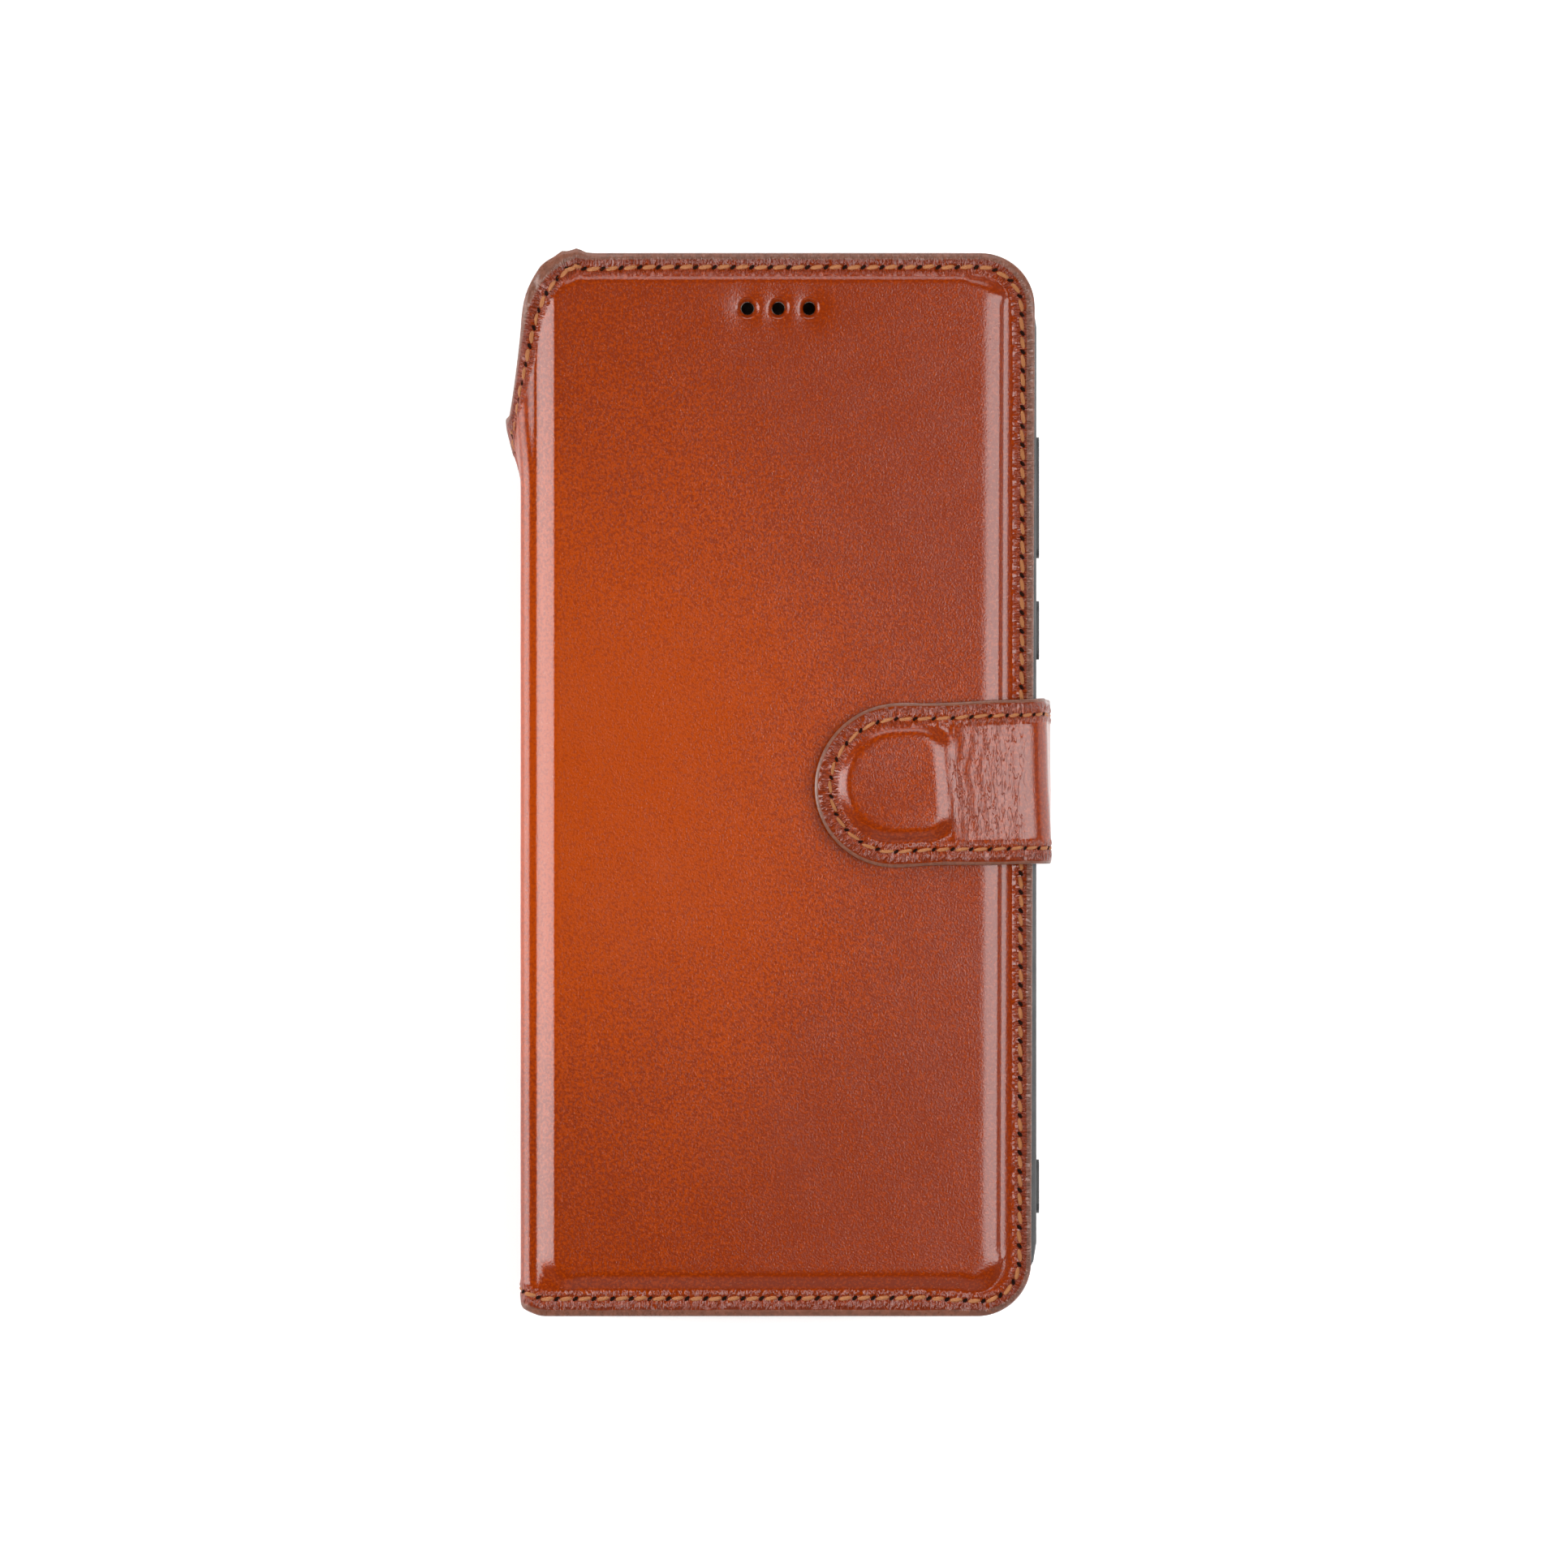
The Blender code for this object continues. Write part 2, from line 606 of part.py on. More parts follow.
def spine_point(turn_or_z, sunk, fold):
    """A point on the spine at a depth: by an angle round a fold, or a height on its wall."""
    radius = FOLD_RADIUS - sunk
    if fold == "top":
        return (FOLD_X - radius * math.sin(turn_or_z), RIM_TOP_Z - FOLD_RADIUS + radius * math.cos(turn_or_z))
    if fold == "foot":
        return (FOLD_X - radius * math.cos(turn_or_z), FOLD_RADIUS - radius * math.sin(turn_or_z))
    return (SPINE_X + sunk, turn_or_z)


def spine_run(sunk=0.0):
    """(length along the leather from the notch's start, x, z) down the spine, front fold to back."""
    quarter = math.pi * FOLD_RADIUS / 2
    wall = RIM_TOP_Z - 2 * FOLD_RADIUS
    run = []
    for k in range(CORNER_STEPS + 1):
        run.append((quarter * k / CORNER_STEPS, *spine_point(math.pi / 2 * k / CORNER_STEPS, sunk, "top")))
    for k in range(1, WALL_STEPS):
        down = wall * k / WALL_STEPS
        run.append((quarter + down, *spine_point(RIM_TOP_Z - FOLD_RADIUS - down, sunk, "wall")))
    for k in range(CORNER_STEPS + 1):
        along = quarter + wall + quarter * k / CORNER_STEPS
        run.append((along, *spine_point(math.pi / 2 * k / CORNER_STEPS, sunk, "foot")))
    start = NOTCH_FROM_SPINE - FOLD_RADIUS
    return [(start + along, x, z) for along, x, z in run]


def notch_cutter(name):
    """Cuts the notch's curve out of the spine, looking along X."""
    edge = [(z, TOP_Y - notch_depth(along)) for along, _, z in spine_run()]
    above = [(-PAST, edge[-1][1]), (-PAST, TOP_Y + PAST), (RIM_TOP_Z + PAST, TOP_Y + PAST),
             (RIM_TOP_Z + PAST, edge[0][1])]
    obj = fill_curve(name, [edge + above], FOLD_RADIUS + 2 * PAST)
    obj.rotation_euler.y = -math.pi / 2
    obj.location.x = SPINE_X + FOLD_RADIUS / 2
    link(obj, CUTTERS)
    bpy.context.view_layer.update()
    return as_mesh(obj)


def build_spine():
    notch = notch_cutter("spine_notch")
    made = []
    for name, sunk, thickness, material in (("spine_outer_leather", 0.0, LEATHER, "leather"),
                                            ("spine_lining", LEATHER + GLUE, SOFT_LINING, "lining")):
        section = shell_section(SPINE_X, 0, RIM_TOP_Z, FOLD_RADIUS, FOLD_RADIUS, sunk, thickness, 1)
        side_prism(name, section, 0, CASE_LENGTH, material)
        bpy.context.view_layer.update()
        made.append(as_mesh(bpy.data.objects[name]))
        boolean(made[-1], notch)
    leather = made[0]
    sewn = spine_run(THREAD_SUNK)[:-UNSEWN_STEPS]
    sew("spine_foot_stitching", leather, [(x, FOOT_Y + SEAM_INSET, z) for _, x, z in sewn])
    side = [(x, TOP_Y - notch_depth(along, SEAM_INSET), z) for along, x, z in sewn]
    sew("spine_notch_stitching", leather, side)


# Front cover

def earpiece_places():
    """The centres of the earpiece holes."""
    middle = (EARPIECE_COUNT - 1) / 2
    y = TOP_Y - EARPIECE_BELOW_TOP
    return [(EARPIECE_OFF_CENTRE + (k - middle) * EARPIECE_PITCH, y) for k in range(EARPIECE_COUNT)]


def build_front_cover():
    plate("front_outer_leather", front_outline(), RIM_Z, LEATHER, "leather", edge_round=COVER_EDGE_ROUND)
    panel_low = RIM_Z + GLUE
    plate("raised_panel", panel_outline(), panel_low, PANEL_TOP_Z - panel_low, None,
          edge_round=PANEL_EDGE_ROUND, collection=CUTTERS)
    bpy.context.view_layer.update()
    leather = as_mesh(bpy.data.objects["front_outer_leather"])
    boolean(leather, as_mesh(bpy.data.objects["raised_panel"]), "UNION")
    recess = panel_outline(LEATHER)
    boolean(leather, block_cutter("board_recess", recess, RIM_Z - PAST, BOARD_TOP_Z + GLUE))
    length = PANEL_TOP_Z - RIM_Z + 2 * PAST
    for k, (x, y) in enumerate(earpiece_places()):
        name = f"earpiece_hole_{k + 1}"
        boolean(leather, disc(name, x, y, EARPIECE_RADIUS, RIM_Z - PAST, length, None, HOLE_STEPS, CUTTERS))
    seam = [(x, y, RIM_TOP_Z - THREAD_SUNK) for x, y in front_outline(SEAM_INSET)]
    sew("front_cover_stitching", leather, seam)

    holes = [circle(x, y, EARPIECE_RADIUS) for x, y in earpiece_places()]
    keeper_hole = circle(MAGNET_X, 0, KEEPER_RADIUS + FIT, CIRCLE_STEPS)
    plate("front_stiffener_board", panel_outline(LEATHER + GLUE), RIM_Z, FRONT_BOARD, "board",
          holes=[*holes, keeper_hole])
    keeper_z = BOARD_TOP_Z - KEEPER_THICKNESS
    disc("clasp_keeper_plate", MAGNET_X, 0, KEEPER_RADIUS, keeper_z, KEEPER_THICKNESS, "steel")
    plate("front_lining", front_outline(), FRONT_LINING_Z, SOFT_LINING, "lining", holes=holes)


def build_pockets():
    right = EDGE_X - POCKET_FROM_EDGE
    cash = rectangle(PANEL_X + CASH_FROM_FOLD, FOOT_Y + CASH_FROM_FOOT,
                     right, TOP_Y - CASH_FROM_TOP, POCKET_CORNER)
    plate("cash_pocket_panel", cash, CASH_Z, POCKET_LEATHER, "lining")
    half = POCKET_LENGTH / 2
    for k, name in enumerate(POCKETS):
        left = PANEL_X + POCKET_FROM_FOLD + k * POCKET_STEP
        low = CASH_Z - (k + 1) * (POCKET_LEATHER + GLUE)
        plate(name, rectangle(left, -half, right, half, POCKET_CORNER), low, POCKET_LEATHER, "lining")
    bpy.context.view_layer.update()
    lower = as_mesh(bpy.data.objects[POCKETS[-1]])
    side = right - POCKET_SEAM_INSET
    top = half - POCKET_SEAM_INSET
    seam = rounded([(left, -top, 0), (side, -top, POCKET_CORNER), (side, top, POCKET_CORNER), (left, top, 0)])
    sew("card_pocket_stitching", lower, [(x, y, POCKET_Z + POCKET_GROOVE / 2) for x, y in seam],
        POCKET_THREAD, POCKET_GROOVE)


# Strap

def strap_run(sunk):
    """(x, z) points round the strap's outer face from its foot fold to its top fold, at a depth under it."""
    return shell_section(STRAP_OUT_X, STRAP_OFF_GROUND, STRAP_TOP_Z, STRAP_FOOT_RADIUS, STRAP_FOLD_RADIUS,
                         sunk, STRAP_LEATHER, -1)[:2 * (CORNER_STEPS + 1)]


def build_strap():
    for name, sunk, thickness, material in (("strap_side_leather", 0.0, STRAP_LEATHER, "leather"),
                                            ("strap_side_lining", STRAP_LEATHER + GLUE, SOFT_LINING, "lining")):
        section = shell_section(STRAP_OUT_X, STRAP_OFF_GROUND, STRAP_TOP_Z, STRAP_FOOT_RADIUS, STRAP_FOLD_RADIUS,
                                sunk, thickness, -1)
        side_prism(name, section, 0, STRAP_WIDTH, material)
    bpy.context.view_layer.update()
    side = as_mesh(bpy.data.objects["strap_side_leather"])
    row = STRAP_WIDTH / 2 - STRAP_SEAM_INSET
    for name, y in (("strap_side_stitching_upper", row), ("strap_side_stitching_lower", -row)):
        sew(name, side, [(x, y, z) for x, z in strap_run(THREAD_SUNK)])

    plate("strap_tab_leather", tab_outline(), STRAP_LEATHER_Z, STRAP_LEATHER, "leather")
    bump = housing_outline(STRAP_LEATHER)
    plate("clasp_bump", bump, STRAP_LEATHER_Z, BUMP_TOP_Z - STRAP_LEATHER_Z, None, edge_round=STRAP_LEATHER / 2,
          collection=CUTTERS)
    bpy.context.view_layer.update()
    tab = as_mesh(bpy.data.objects["strap_tab_leather"])
    boolean(tab, as_mesh(bpy.data.objects["clasp_bump"]), "UNION")
    boolean(tab, block_cutter("housing_recess", housing_outline(GLUE), STRAP_LEATHER_Z - PAST,
                              HOUSING_TOP_Z + GLUE))
    seam = tab_outline(STRAP_SEAM_INSET)
    sew("strap_tab_stitching", tab, [(x, y, STRAP_TOP_Z - THREAD_SUNK) for x, y in seam])

    plate("strap_tab_lining", tab_outline(), STRAP_LINING_Z, SOFT_LINING, "lining")
    plate("magnet_housing", housing_outline(), STRAP_LEATHER_Z, HOUSING_THICKNESS, "plastic",
          holes=[circle(MAGNET_X, 0, MAGNET_RADIUS + FIT, CIRCLE_STEPS)])
    disc("clasp_magnet", MAGNET_X, 0, MAGNET_RADIUS, STRAP_LEATHER_Z, MAGNET_THICKNESS, "steel")


# Folds

def add_fold(name, axis, pieces, parent=None):
    """An empty on a fold's axis, which carries the pieces that turn about it."""
    empty = bpy.data.objects.new(name, None)
    empty.location = (axis[0], 0, axis[1])
    PARTS.objects.link(empty)
    bpy.context.view_layer.update()
    if parent:
        empty.parent = parent
        empty.matrix_parent_inverse = parent.matrix_world.inverted()
    for piece in pieces:
        obj = bpy.data.objects[piece]
        obj.parent = empty
        obj.matrix_parent_inverse = empty.matrix_world.inverted()
    return empty


def build_folds():
    spine = add_fold("spine_fold_axis", SPINE_AXIS, (
        "spine_outer_leather", "spine_lining", "spine_foot_stitching", "spine_notch_stitching"))
    add_fold("cover_fold_axis", COVER_AXIS, (
        "front_outer_leather", "front_stiffener_board", "front_lining", "front_cover_stitching",
        "clasp_keeper_plate", "cash_pocket_panel", "card_pocket_stitching", *POCKETS), spine)
    side = add_fold("strap_foot_axis", STRAP_FOOT_AXIS, (
        "strap_side_leather", "strap_side_lining", "strap_side_stitching_upper", "strap_side_stitching_lower"))
    add_fold("strap_top_axis", STRAP_TOP_AXIS, (
        "strap_tab_leather", "strap_tab_lining", "strap_tab_stitching", "magnet_housing", "clasp_magnet"), side)


build_back_cover()
build_tray()
build_spine()
build_front_cover()
build_pockets()
build_strap()
build_folds()
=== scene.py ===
"""Leather phone wallet case: its leathers, threads, linings and pockets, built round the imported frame."""

import json
import logging
import math
from collections.abc import Callable
from dataclasses import dataclass
from enum import Enum

import bpy
import numpy as np
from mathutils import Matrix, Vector, kdtree

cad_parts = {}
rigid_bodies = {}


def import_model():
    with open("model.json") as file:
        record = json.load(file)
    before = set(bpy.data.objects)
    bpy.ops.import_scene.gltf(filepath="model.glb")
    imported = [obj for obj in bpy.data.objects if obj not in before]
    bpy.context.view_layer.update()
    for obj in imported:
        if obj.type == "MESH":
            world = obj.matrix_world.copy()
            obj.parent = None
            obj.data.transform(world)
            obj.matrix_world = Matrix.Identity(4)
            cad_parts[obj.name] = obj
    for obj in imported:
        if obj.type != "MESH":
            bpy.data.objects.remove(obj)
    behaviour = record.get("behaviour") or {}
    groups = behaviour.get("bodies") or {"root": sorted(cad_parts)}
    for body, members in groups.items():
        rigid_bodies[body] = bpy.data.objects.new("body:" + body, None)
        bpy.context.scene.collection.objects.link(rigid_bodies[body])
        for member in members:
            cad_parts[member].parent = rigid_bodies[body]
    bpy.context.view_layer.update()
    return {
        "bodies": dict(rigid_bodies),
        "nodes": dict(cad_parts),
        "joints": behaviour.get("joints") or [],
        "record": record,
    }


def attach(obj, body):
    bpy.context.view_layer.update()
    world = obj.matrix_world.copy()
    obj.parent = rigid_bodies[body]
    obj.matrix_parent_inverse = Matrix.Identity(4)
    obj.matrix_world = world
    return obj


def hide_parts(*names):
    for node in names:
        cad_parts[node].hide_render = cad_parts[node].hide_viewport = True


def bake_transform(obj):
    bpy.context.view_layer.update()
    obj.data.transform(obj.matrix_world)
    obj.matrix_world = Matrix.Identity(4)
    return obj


MM = 0.001
LOG = logging.getLogger("phone_wallet_case")
Colour = tuple[float, float, float]
Point = tuple[float, float]
Socket = bpy.types.NodeSocket


class Ground(Enum):
    """How the colour lies on a hide."""

    BURNISHED = "burnished"
    EVEN = "even"


class Side(Enum):
    """The two broad sides of the closed case, by the sign of their height."""

    FRONT = 1
    BACK = -1


def ease(value: np.ndarray) -> np.ndarray:
    """Smooth steps from 0 to 1.

    Args:
        value: Places along the step, where 0 is its start and 1 its end.

    Returns:
        The heights of the step, flat at both ends.
    """
    t = np.clip(value, 0.0, 1.0)
    return t * t * (3 - 2 * t)


def hump(value: np.ndarray, middle: float, width: float) -> np.ndarray:
    """A soft hump of height 1 round a middle."""
    return np.exp(-(((value - middle) / width) ** 2))


def ripple(p: np.ndarray, y: np.ndarray, size: float, seed: float) -> np.ndarray:
    """Slow, uneven waves over a sheet.

    Args:
        p: Places across the sheet, in millimetres.
        y: Places along it.
        size: The waves' usual length.
        seed: Shifts the waves, so that two sheets differ.

    Returns:
        Heights from about -1 to 1.
    """
    k = 2 * math.pi / size
    return (np.sin(k * (0.83 * p + 0.41 * y) + seed) + np.sin(k * (1.27 * y - 0.52 * p) + 2.3 * seed)
            + np.sin(k * 0.61 * (p - 1.7 * y) + 4.1 * seed)) / 3


# Finishes

class Recipe:
    """A material's nodes, added one at a time."""

    def __init__(self, name: str, colour: Colour, roughness: float, **sockets: float) -> None:
        """Starts a material with the values that are the same all over it.

        Args:
            name: The material's name.
            colour: Its base colour.
            roughness: Its roughness.
            **sockets: Other values for the shader, by socket name with _ for spaces.
        """
        self.material = bpy.data.materials.new(name)
        self.material.use_nodes = True
        self.nodes = self.material.node_tree.nodes
        self.links = self.material.node_tree.links
        self.shader = self.nodes["Principled BSDF"]
        self.shader.inputs["Base Color"].default_value = (*colour, 1)
        self.shader.inputs["Roughness"].default_value = roughness
        for key, value in sockets.items():
            self.shader.inputs[key.replace("_", " ")].default_value = value
        self.place = self.nodes.new("ShaderNodeTexCoord").outputs["Object"]

    def feed(self, socket: bpy.types.NodeSocket, value: object) -> None:
        """Links a socket to an output, or sets its value."""
        if isinstance(value, bpy.types.NodeSocket):
            self.links.new(value, socket)
        elif isinstance(value, tuple) and len(value) == 3 and socket.type == "RGBA":
            socket.default_value = (*value, 1)
        else:
            socket.default_value = value

    def stretch(self, scale: tuple[float, float, float], turn: float = 0.0) -> Socket:
        """Object places, stretched, and turned about Z in degrees."""
        node = self.nodes.new("ShaderNodeMapping")
        self.links.new(self.place, node.inputs["Vector"])
        node.inputs["Rotation"].default_value = (0, 0, math.radians(turn))
        node.inputs["Scale"].default_value = scale
        return node.outputs["Vector"]

    def noise(self, scale: float, detail: float = 3.0, distortion: float = 0.0,
              place: bpy.types.NodeSocket | None = None) -> Socket:
        """A cloudy pattern.

        Args:
            scale: Its clouds in a metre.
            detail: Its finer layers.
            distortion: How far it is stirred.
            place: The places that it reads, or object places.

        Returns:
            Its value, about 0.5 on average.
        """
        node = self.nodes.new("ShaderNodeTexNoise")
        self.links.new(place or self.place, node.inputs["Vector"])
        node.inputs["Scale"].default_value = scale
        node.inputs["Detail"].default_value = detail
        node.inputs["Distortion"].default_value = distortion
        return node.outputs["Fac"]

    def cells(self, scale: float, place: bpy.types.NodeSocket | None = None,
              feature: str = "DISTANCE_TO_EDGE") -> Socket:
        """A pattern of cells, with its value 0 along their edges."""
        node = self.nodes.new("ShaderNodeTexVoronoi")
        node.feature = feature
        self.links.new(place or self.place, node.inputs["Vector"])
        node.inputs["Scale"].default_value = scale
        return node.outputs["Distance"]

    def attribute(self, name: str) -> Socket:
        """A number that the piece's mesh carries."""
        node = self.nodes.new("ShaderNodeAttribute")
        node.attribute_name = name
        return node.outputs["Fac"]

    def along_seam(self, along: float, inside: float) -> Socket:
        """Places along and inside the piece's seam, with their counts in a millimetre."""
        node = self.nodes.new("ShaderNodeCombineXYZ")
        self.feed(node.inputs[0], self.times(self.attribute("along"), along))
        self.feed(node.inputs[1], self.times(self.attribute("inside"), inside))
        return node.outputs[0]

    def away(self, centre: tuple[float, float, float], size: tuple[float, float, float]) -> Socket:
        """How far a place is from a centre, as a share of a size along each axis."""
        node = self.nodes.new("ShaderNodeMapping")
        self.links.new(self.place, node.inputs["Vector"])
        node.inputs["Location"].default_value = tuple(-c / s for c, s in zip(centre, size))
        node.inputs["Scale"].default_value = tuple(1 / s for s in size)
        length = self.nodes.new("ShaderNodeVectorMath")
        length.operation = "LENGTH"
        self.links.new(node.outputs["Vector"], length.inputs[0])
        return length.outputs["Value"]

    def sum(self, *terms: object, operation: str = "ADD") -> Socket:
        """The terms put together one after another by a sum, or another operation of two numbers."""
        total = terms[0]
        for term in terms[1:]:
            node = self.nodes.new("ShaderNodeMath")
            node.operation = operation
            self.feed(node.inputs[0], total)
            self.feed(node.inputs[1], term)
            total = node.outputs[0]
        return total

    def times(self, *terms: object) -> Socket:
        """The product of the terms."""
        return self.sum(*terms, operation="MULTIPLY")

    def between(self, value: object, low: float, high: float, start: float = 0.0, end: float = 1.0,
                soft: bool = True) -> Socket:
        """A value's range stretched to another one, and held at its ends.

        Args:
            value: The value.
            low: The value that gives start.
            high: The value that gives end.
            start: The result at low.
            end: The result at high.
            soft: Whether both ends are eased.

        Returns:
            The stretched value.
        """
        node = self.nodes.new("ShaderNodeMapRange")
        node.interpolation_type = "SMOOTHSTEP" if soft else "LINEAR"
        for key, number in (("Value", value), ("From Min", low), ("From Max", high), ("To Min", start),
                            ("To Max", end)):
            self.feed(node.inputs[key], number)
        return node.outputs["Result"]

    def blend(self, share: object, first: object, second: object) -> Socket:
        """Two colours mixed, where a share of 1 gives the second."""
        node = self.nodes.new("ShaderNodeMix")
        node.data_type = "RGBA"
        self.feed(node.inputs[0], share)
        self.feed(node.inputs[6], first)
        self.feed(node.inputs[7], second)
        return node.outputs[2]

    def relief(self, height: object, depth: float, strength: float = 1.0,
               under: bpy.types.NodeSocket | None = None) -> Socket:
        """Fine relief in the surface.

        Args:
            height: The pattern.
            depth: What a height of 1 stands for, in metres.
            strength: Its share.
            under: Relief that this one lies on.

        Returns:
            The normals.
        """
        node = self.nodes.new("ShaderNodeBump")
        self.feed(node.inputs["Height"], height)
        node.inputs["Distance"].default_value = depth
        node.inputs["Strength"].default_value = strength
        if under is not None:
            self.links.new(under, node.inputs["Normal"])
        return node.outputs["Normal"]

    def finish(self, colour: object = None, roughness: object = None,
               normal: object = None) -> bpy.types.Material:
        """Links the patterns to the shader and returns the material."""
        for key, value in (("Base Color", colour), ("Roughness", roughness), ("Normal", normal)):
            if value is not None:
                self.links.new(value, self.shader.inputs[key])
        return self.material


@dataclass(frozen=True)
class Hide:
    """Glazed tan leather with a painted edge, where the mesh says how far the cut edge is."""

    name: str
    bright: Colour = (0.372, 0.0470, 0.0006)
    dark: Colour = (0.196, 0.0200, 0.0006)
    paint: Colour = (0.150, 0.057, 0.035)
    paint_width: float = 1.05
    ground: Ground = Ground.BURNISHED
    tones: tuple[float, float] = (0.15, 0.75)
    creases: tuple[float, float] | None = None

    def material(self) -> bpy.types.Material:
        """Makes the leather's material."""
        r = Recipe(self.name, self.bright, 0.36, Specular_IOR_Level=0.5)
        cloud = r.noise(22, 3.0, 0.6)
        mottle = r.noise(2300, 4.0)
        if self.ground is Ground.BURNISHED:
            away = r.away((-0.028, 0.003, 0.02), (0.064, 0.084, 0.4))
            burnish = r.between(r.sum(away, r.times(cloud, 0.7)), 0.32, 1.50)
        else:
            burnish = r.between(cloud, 0.25, 0.75, *self.tones)
        tone = r.sum(burnish, r.between(mottle, 0.38, 0.62, -0.45, 0.45, soft=False))
        colour = r.blend(tone, self.bright, self.dark)
        specks = r.between(r.noise(2900, 2.0), 0.64, 0.72, 0.0, 0.30)
        colour = r.blend(specks, colour, (0.42, 0.16, 0.09))
        pores = r.between(r.cells(420, feature="F1"), 0.02, 0.055, 0.30, 0.0)
        colour = r.blend(pores, colour, (0.05, 0.012, 0.008))
        edge = r.attribute("edge")
        stripes = r.noise(1500, 2.0, place=r.stretch((1.0, 1.0, 0.12)))
        wander = r.times(r.sum(r.noise(160, 2.0), -0.5), 0.35)
        painted = r.between(r.sum(edge, wander), self.paint_width - 0.10, self.paint_width + 0.08, 1.0, 0.0)
        paint = r.blend(r.between(stripes, 0.35, 0.65), self.paint, tuple(c * 1.35 for c in self.paint))
        seam_shade = r.between(edge, self.paint_width + 0.05, self.paint_width + 1.5, 0.45, 0.0)
        colour = r.blend(seam_shade, colour, tuple(c * 0.55 for c in self.dark))
        colour = r.blend(painted, colour, paint)
        pebble = r.cells(2600, r.stretch((1.0, 0.85, 1.0), 25))
        normal = r.relief(r.sum(r.noise(3300, 3.0), r.times(pebble, 0.5)), 0.000034, 0.8)
        streaks = r.noise(1.0, 3.0, 0.4, r.along_seam(1.9, 0.45))
        rim = r.times(r.between(r.attribute("inside"), -2.0, -1.2),
                      r.between(r.attribute("inside"), 0.5, 1.5, 1, 0))
        normal = r.relief(r.times(r.between(streaks, 0.36, 0.66), rim), 0.00035, 0.9, normal)
        if self.creases:
            start, end = self.creases
            line = r.noise(520, 4.0, 1.4, r.stretch((2.6, 0.42, 1.0), -3))
            folds = r.between(r.sum(line, -0.5, operation="ADD"), -0.05, 0.02)
            away = r.away((start / 2 + end / 2, 0, 0), ((end - start) / 2, 10, 10))
            zone = r.times(r.between(away, 1.0, 0.65), r.between(edge, 1.5, 3.2))
            normal = r.relief(r.times(folds, zone), 0.00020, 0.7, normal)
        rough = r.sum(r.between(mottle, 0.3, 0.7, 0.14, 0.21, soft=False), r.times(painted, 0.12),
                      r.times(r.sum(cloud, -0.5), 0.08),
                      r.between(r.away((0.060, 0, 0), (0.1, 9, 9)), 0.982, 1.0, 0.0, 0.20))
        return r.finish(colour, rough, normal)


@dataclass(frozen=True)
class Suede:
    """Napped lining with a soft sheen."""

    name: str
    colour: Colour = (0.30, 0.115, 0.045)
    shade: Colour = (0.20, 0.070, 0.026)
    paint: Colour = (0.150, 0.057, 0.035)

    def material(self) -> bpy.types.Material:
        """Makes the lining's material."""
        r = Recipe(self.name, self.colour, 0.9, Sheen_Weight=0.35, Sheen_Roughness=0.5,
                   Specular_IOR_Level=0.2)
        nap = r.noise(2600, 4.0, 0.4, r.stretch((1.0, 0.45, 1.0), 8))
        cloud = r.noise(60, 3.0, 0.8)
        tone = r.sum(r.times(nap, 0.6), r.between(cloud, 0.3, 0.7, 0.0, 0.4))
        painted = r.between(r.attribute("edge"), 0.22, 0.34, 1.0, 0.0)
        colour = r.blend(painted, r.blend(r.between(tone, 0.25, 0.85), self.colour, self.shade), self.paint)
        return r.finish(colour, r.between(nap, 0.3, 0.7, 0.82, 0.97), r.relief(nap, 0.00008, 0.6))


@dataclass(frozen=True)
class Thread:
    """Waxed two-ply thread."""

    name: str
    light: Colour = (0.66, 0.265, 0.098)
    dark: Colour = (0.36, 0.110, 0.032)

    def material(self) -> bpy.types.Material:
        """Makes the thread's material, whose twist follows the strands' own UV map."""
        r = Recipe(self.name, self.light, 0.55, Specular_IOR_Level=0.4)
        node = r.nodes.new("ShaderNodeUVMap")
        node.uv_map = "strand"
        wave = r.nodes.new("ShaderNodeTexWave")
        wave.bands_direction = "DIAGONAL"
        r.links.new(node.outputs["UV"], wave.inputs["Vector"])
        for key, value in (("Scale", 1.0), ("Distortion", 0.8), ("Detail", 1.0)):
            wave.inputs[key].default_value = value
        ply = wave.outputs["Fac"]
        fuzz = r.noise(5200, 2.0)
        tone = r.sum(r.times(ply, 0.65), r.times(fuzz, 0.5))
        # The twist's grooves are painted darker, as shade between the plies; the fuzz varies the tone at
        # random.
        colour = r.blend(r.between(tone, 0.2, 0.85), self.dark, self.light)
        rough = r.between(fuzz, 0.3, 0.7, 0.45, 0.65)
        return r.finish(colour, rough, r.relief(r.sum(ply, r.times(fuzz, 0.4)), 0.0001, 0.7))


@dataclass(frozen=True)
class Plain:
    """A material of one colour with a fine texture: rubber, board, glue, steel, plastic, or the painted shade
    inside a needle hole.
    """

    name: str
    colour: Colour
    roughness: float
    second: Colour
    grain: float = 1500.0
    depth: float = 0.00003
    metal: float = 0.0
    brushed: float = 1.0
    gloss: float = 0.5

    def material(self) -> bpy.types.Material:
        """Makes the material."""
        r = Recipe(self.name, self.colour, self.roughness, Metallic=self.metal, Specular_IOR_Level=self.gloss)
        fine = r.noise(self.grain, 4.0, 0.2, r.stretch((self.brushed, 1.0, 1.0)))
        cloud = r.noise(self.grain / 25, 3.0)
        tone = r.sum(r.times(fine, 0.6), r.times(cloud, 0.4))
        return r.finish(r.blend(r.between(tone, 0.35, 0.65), self.colour, self.second),
                        r.between(cloud, 0.3, 0.7, self.roughness - 0.06, self.roughness + 0.06),
                        r.relief(fine, self.depth, 0.6))


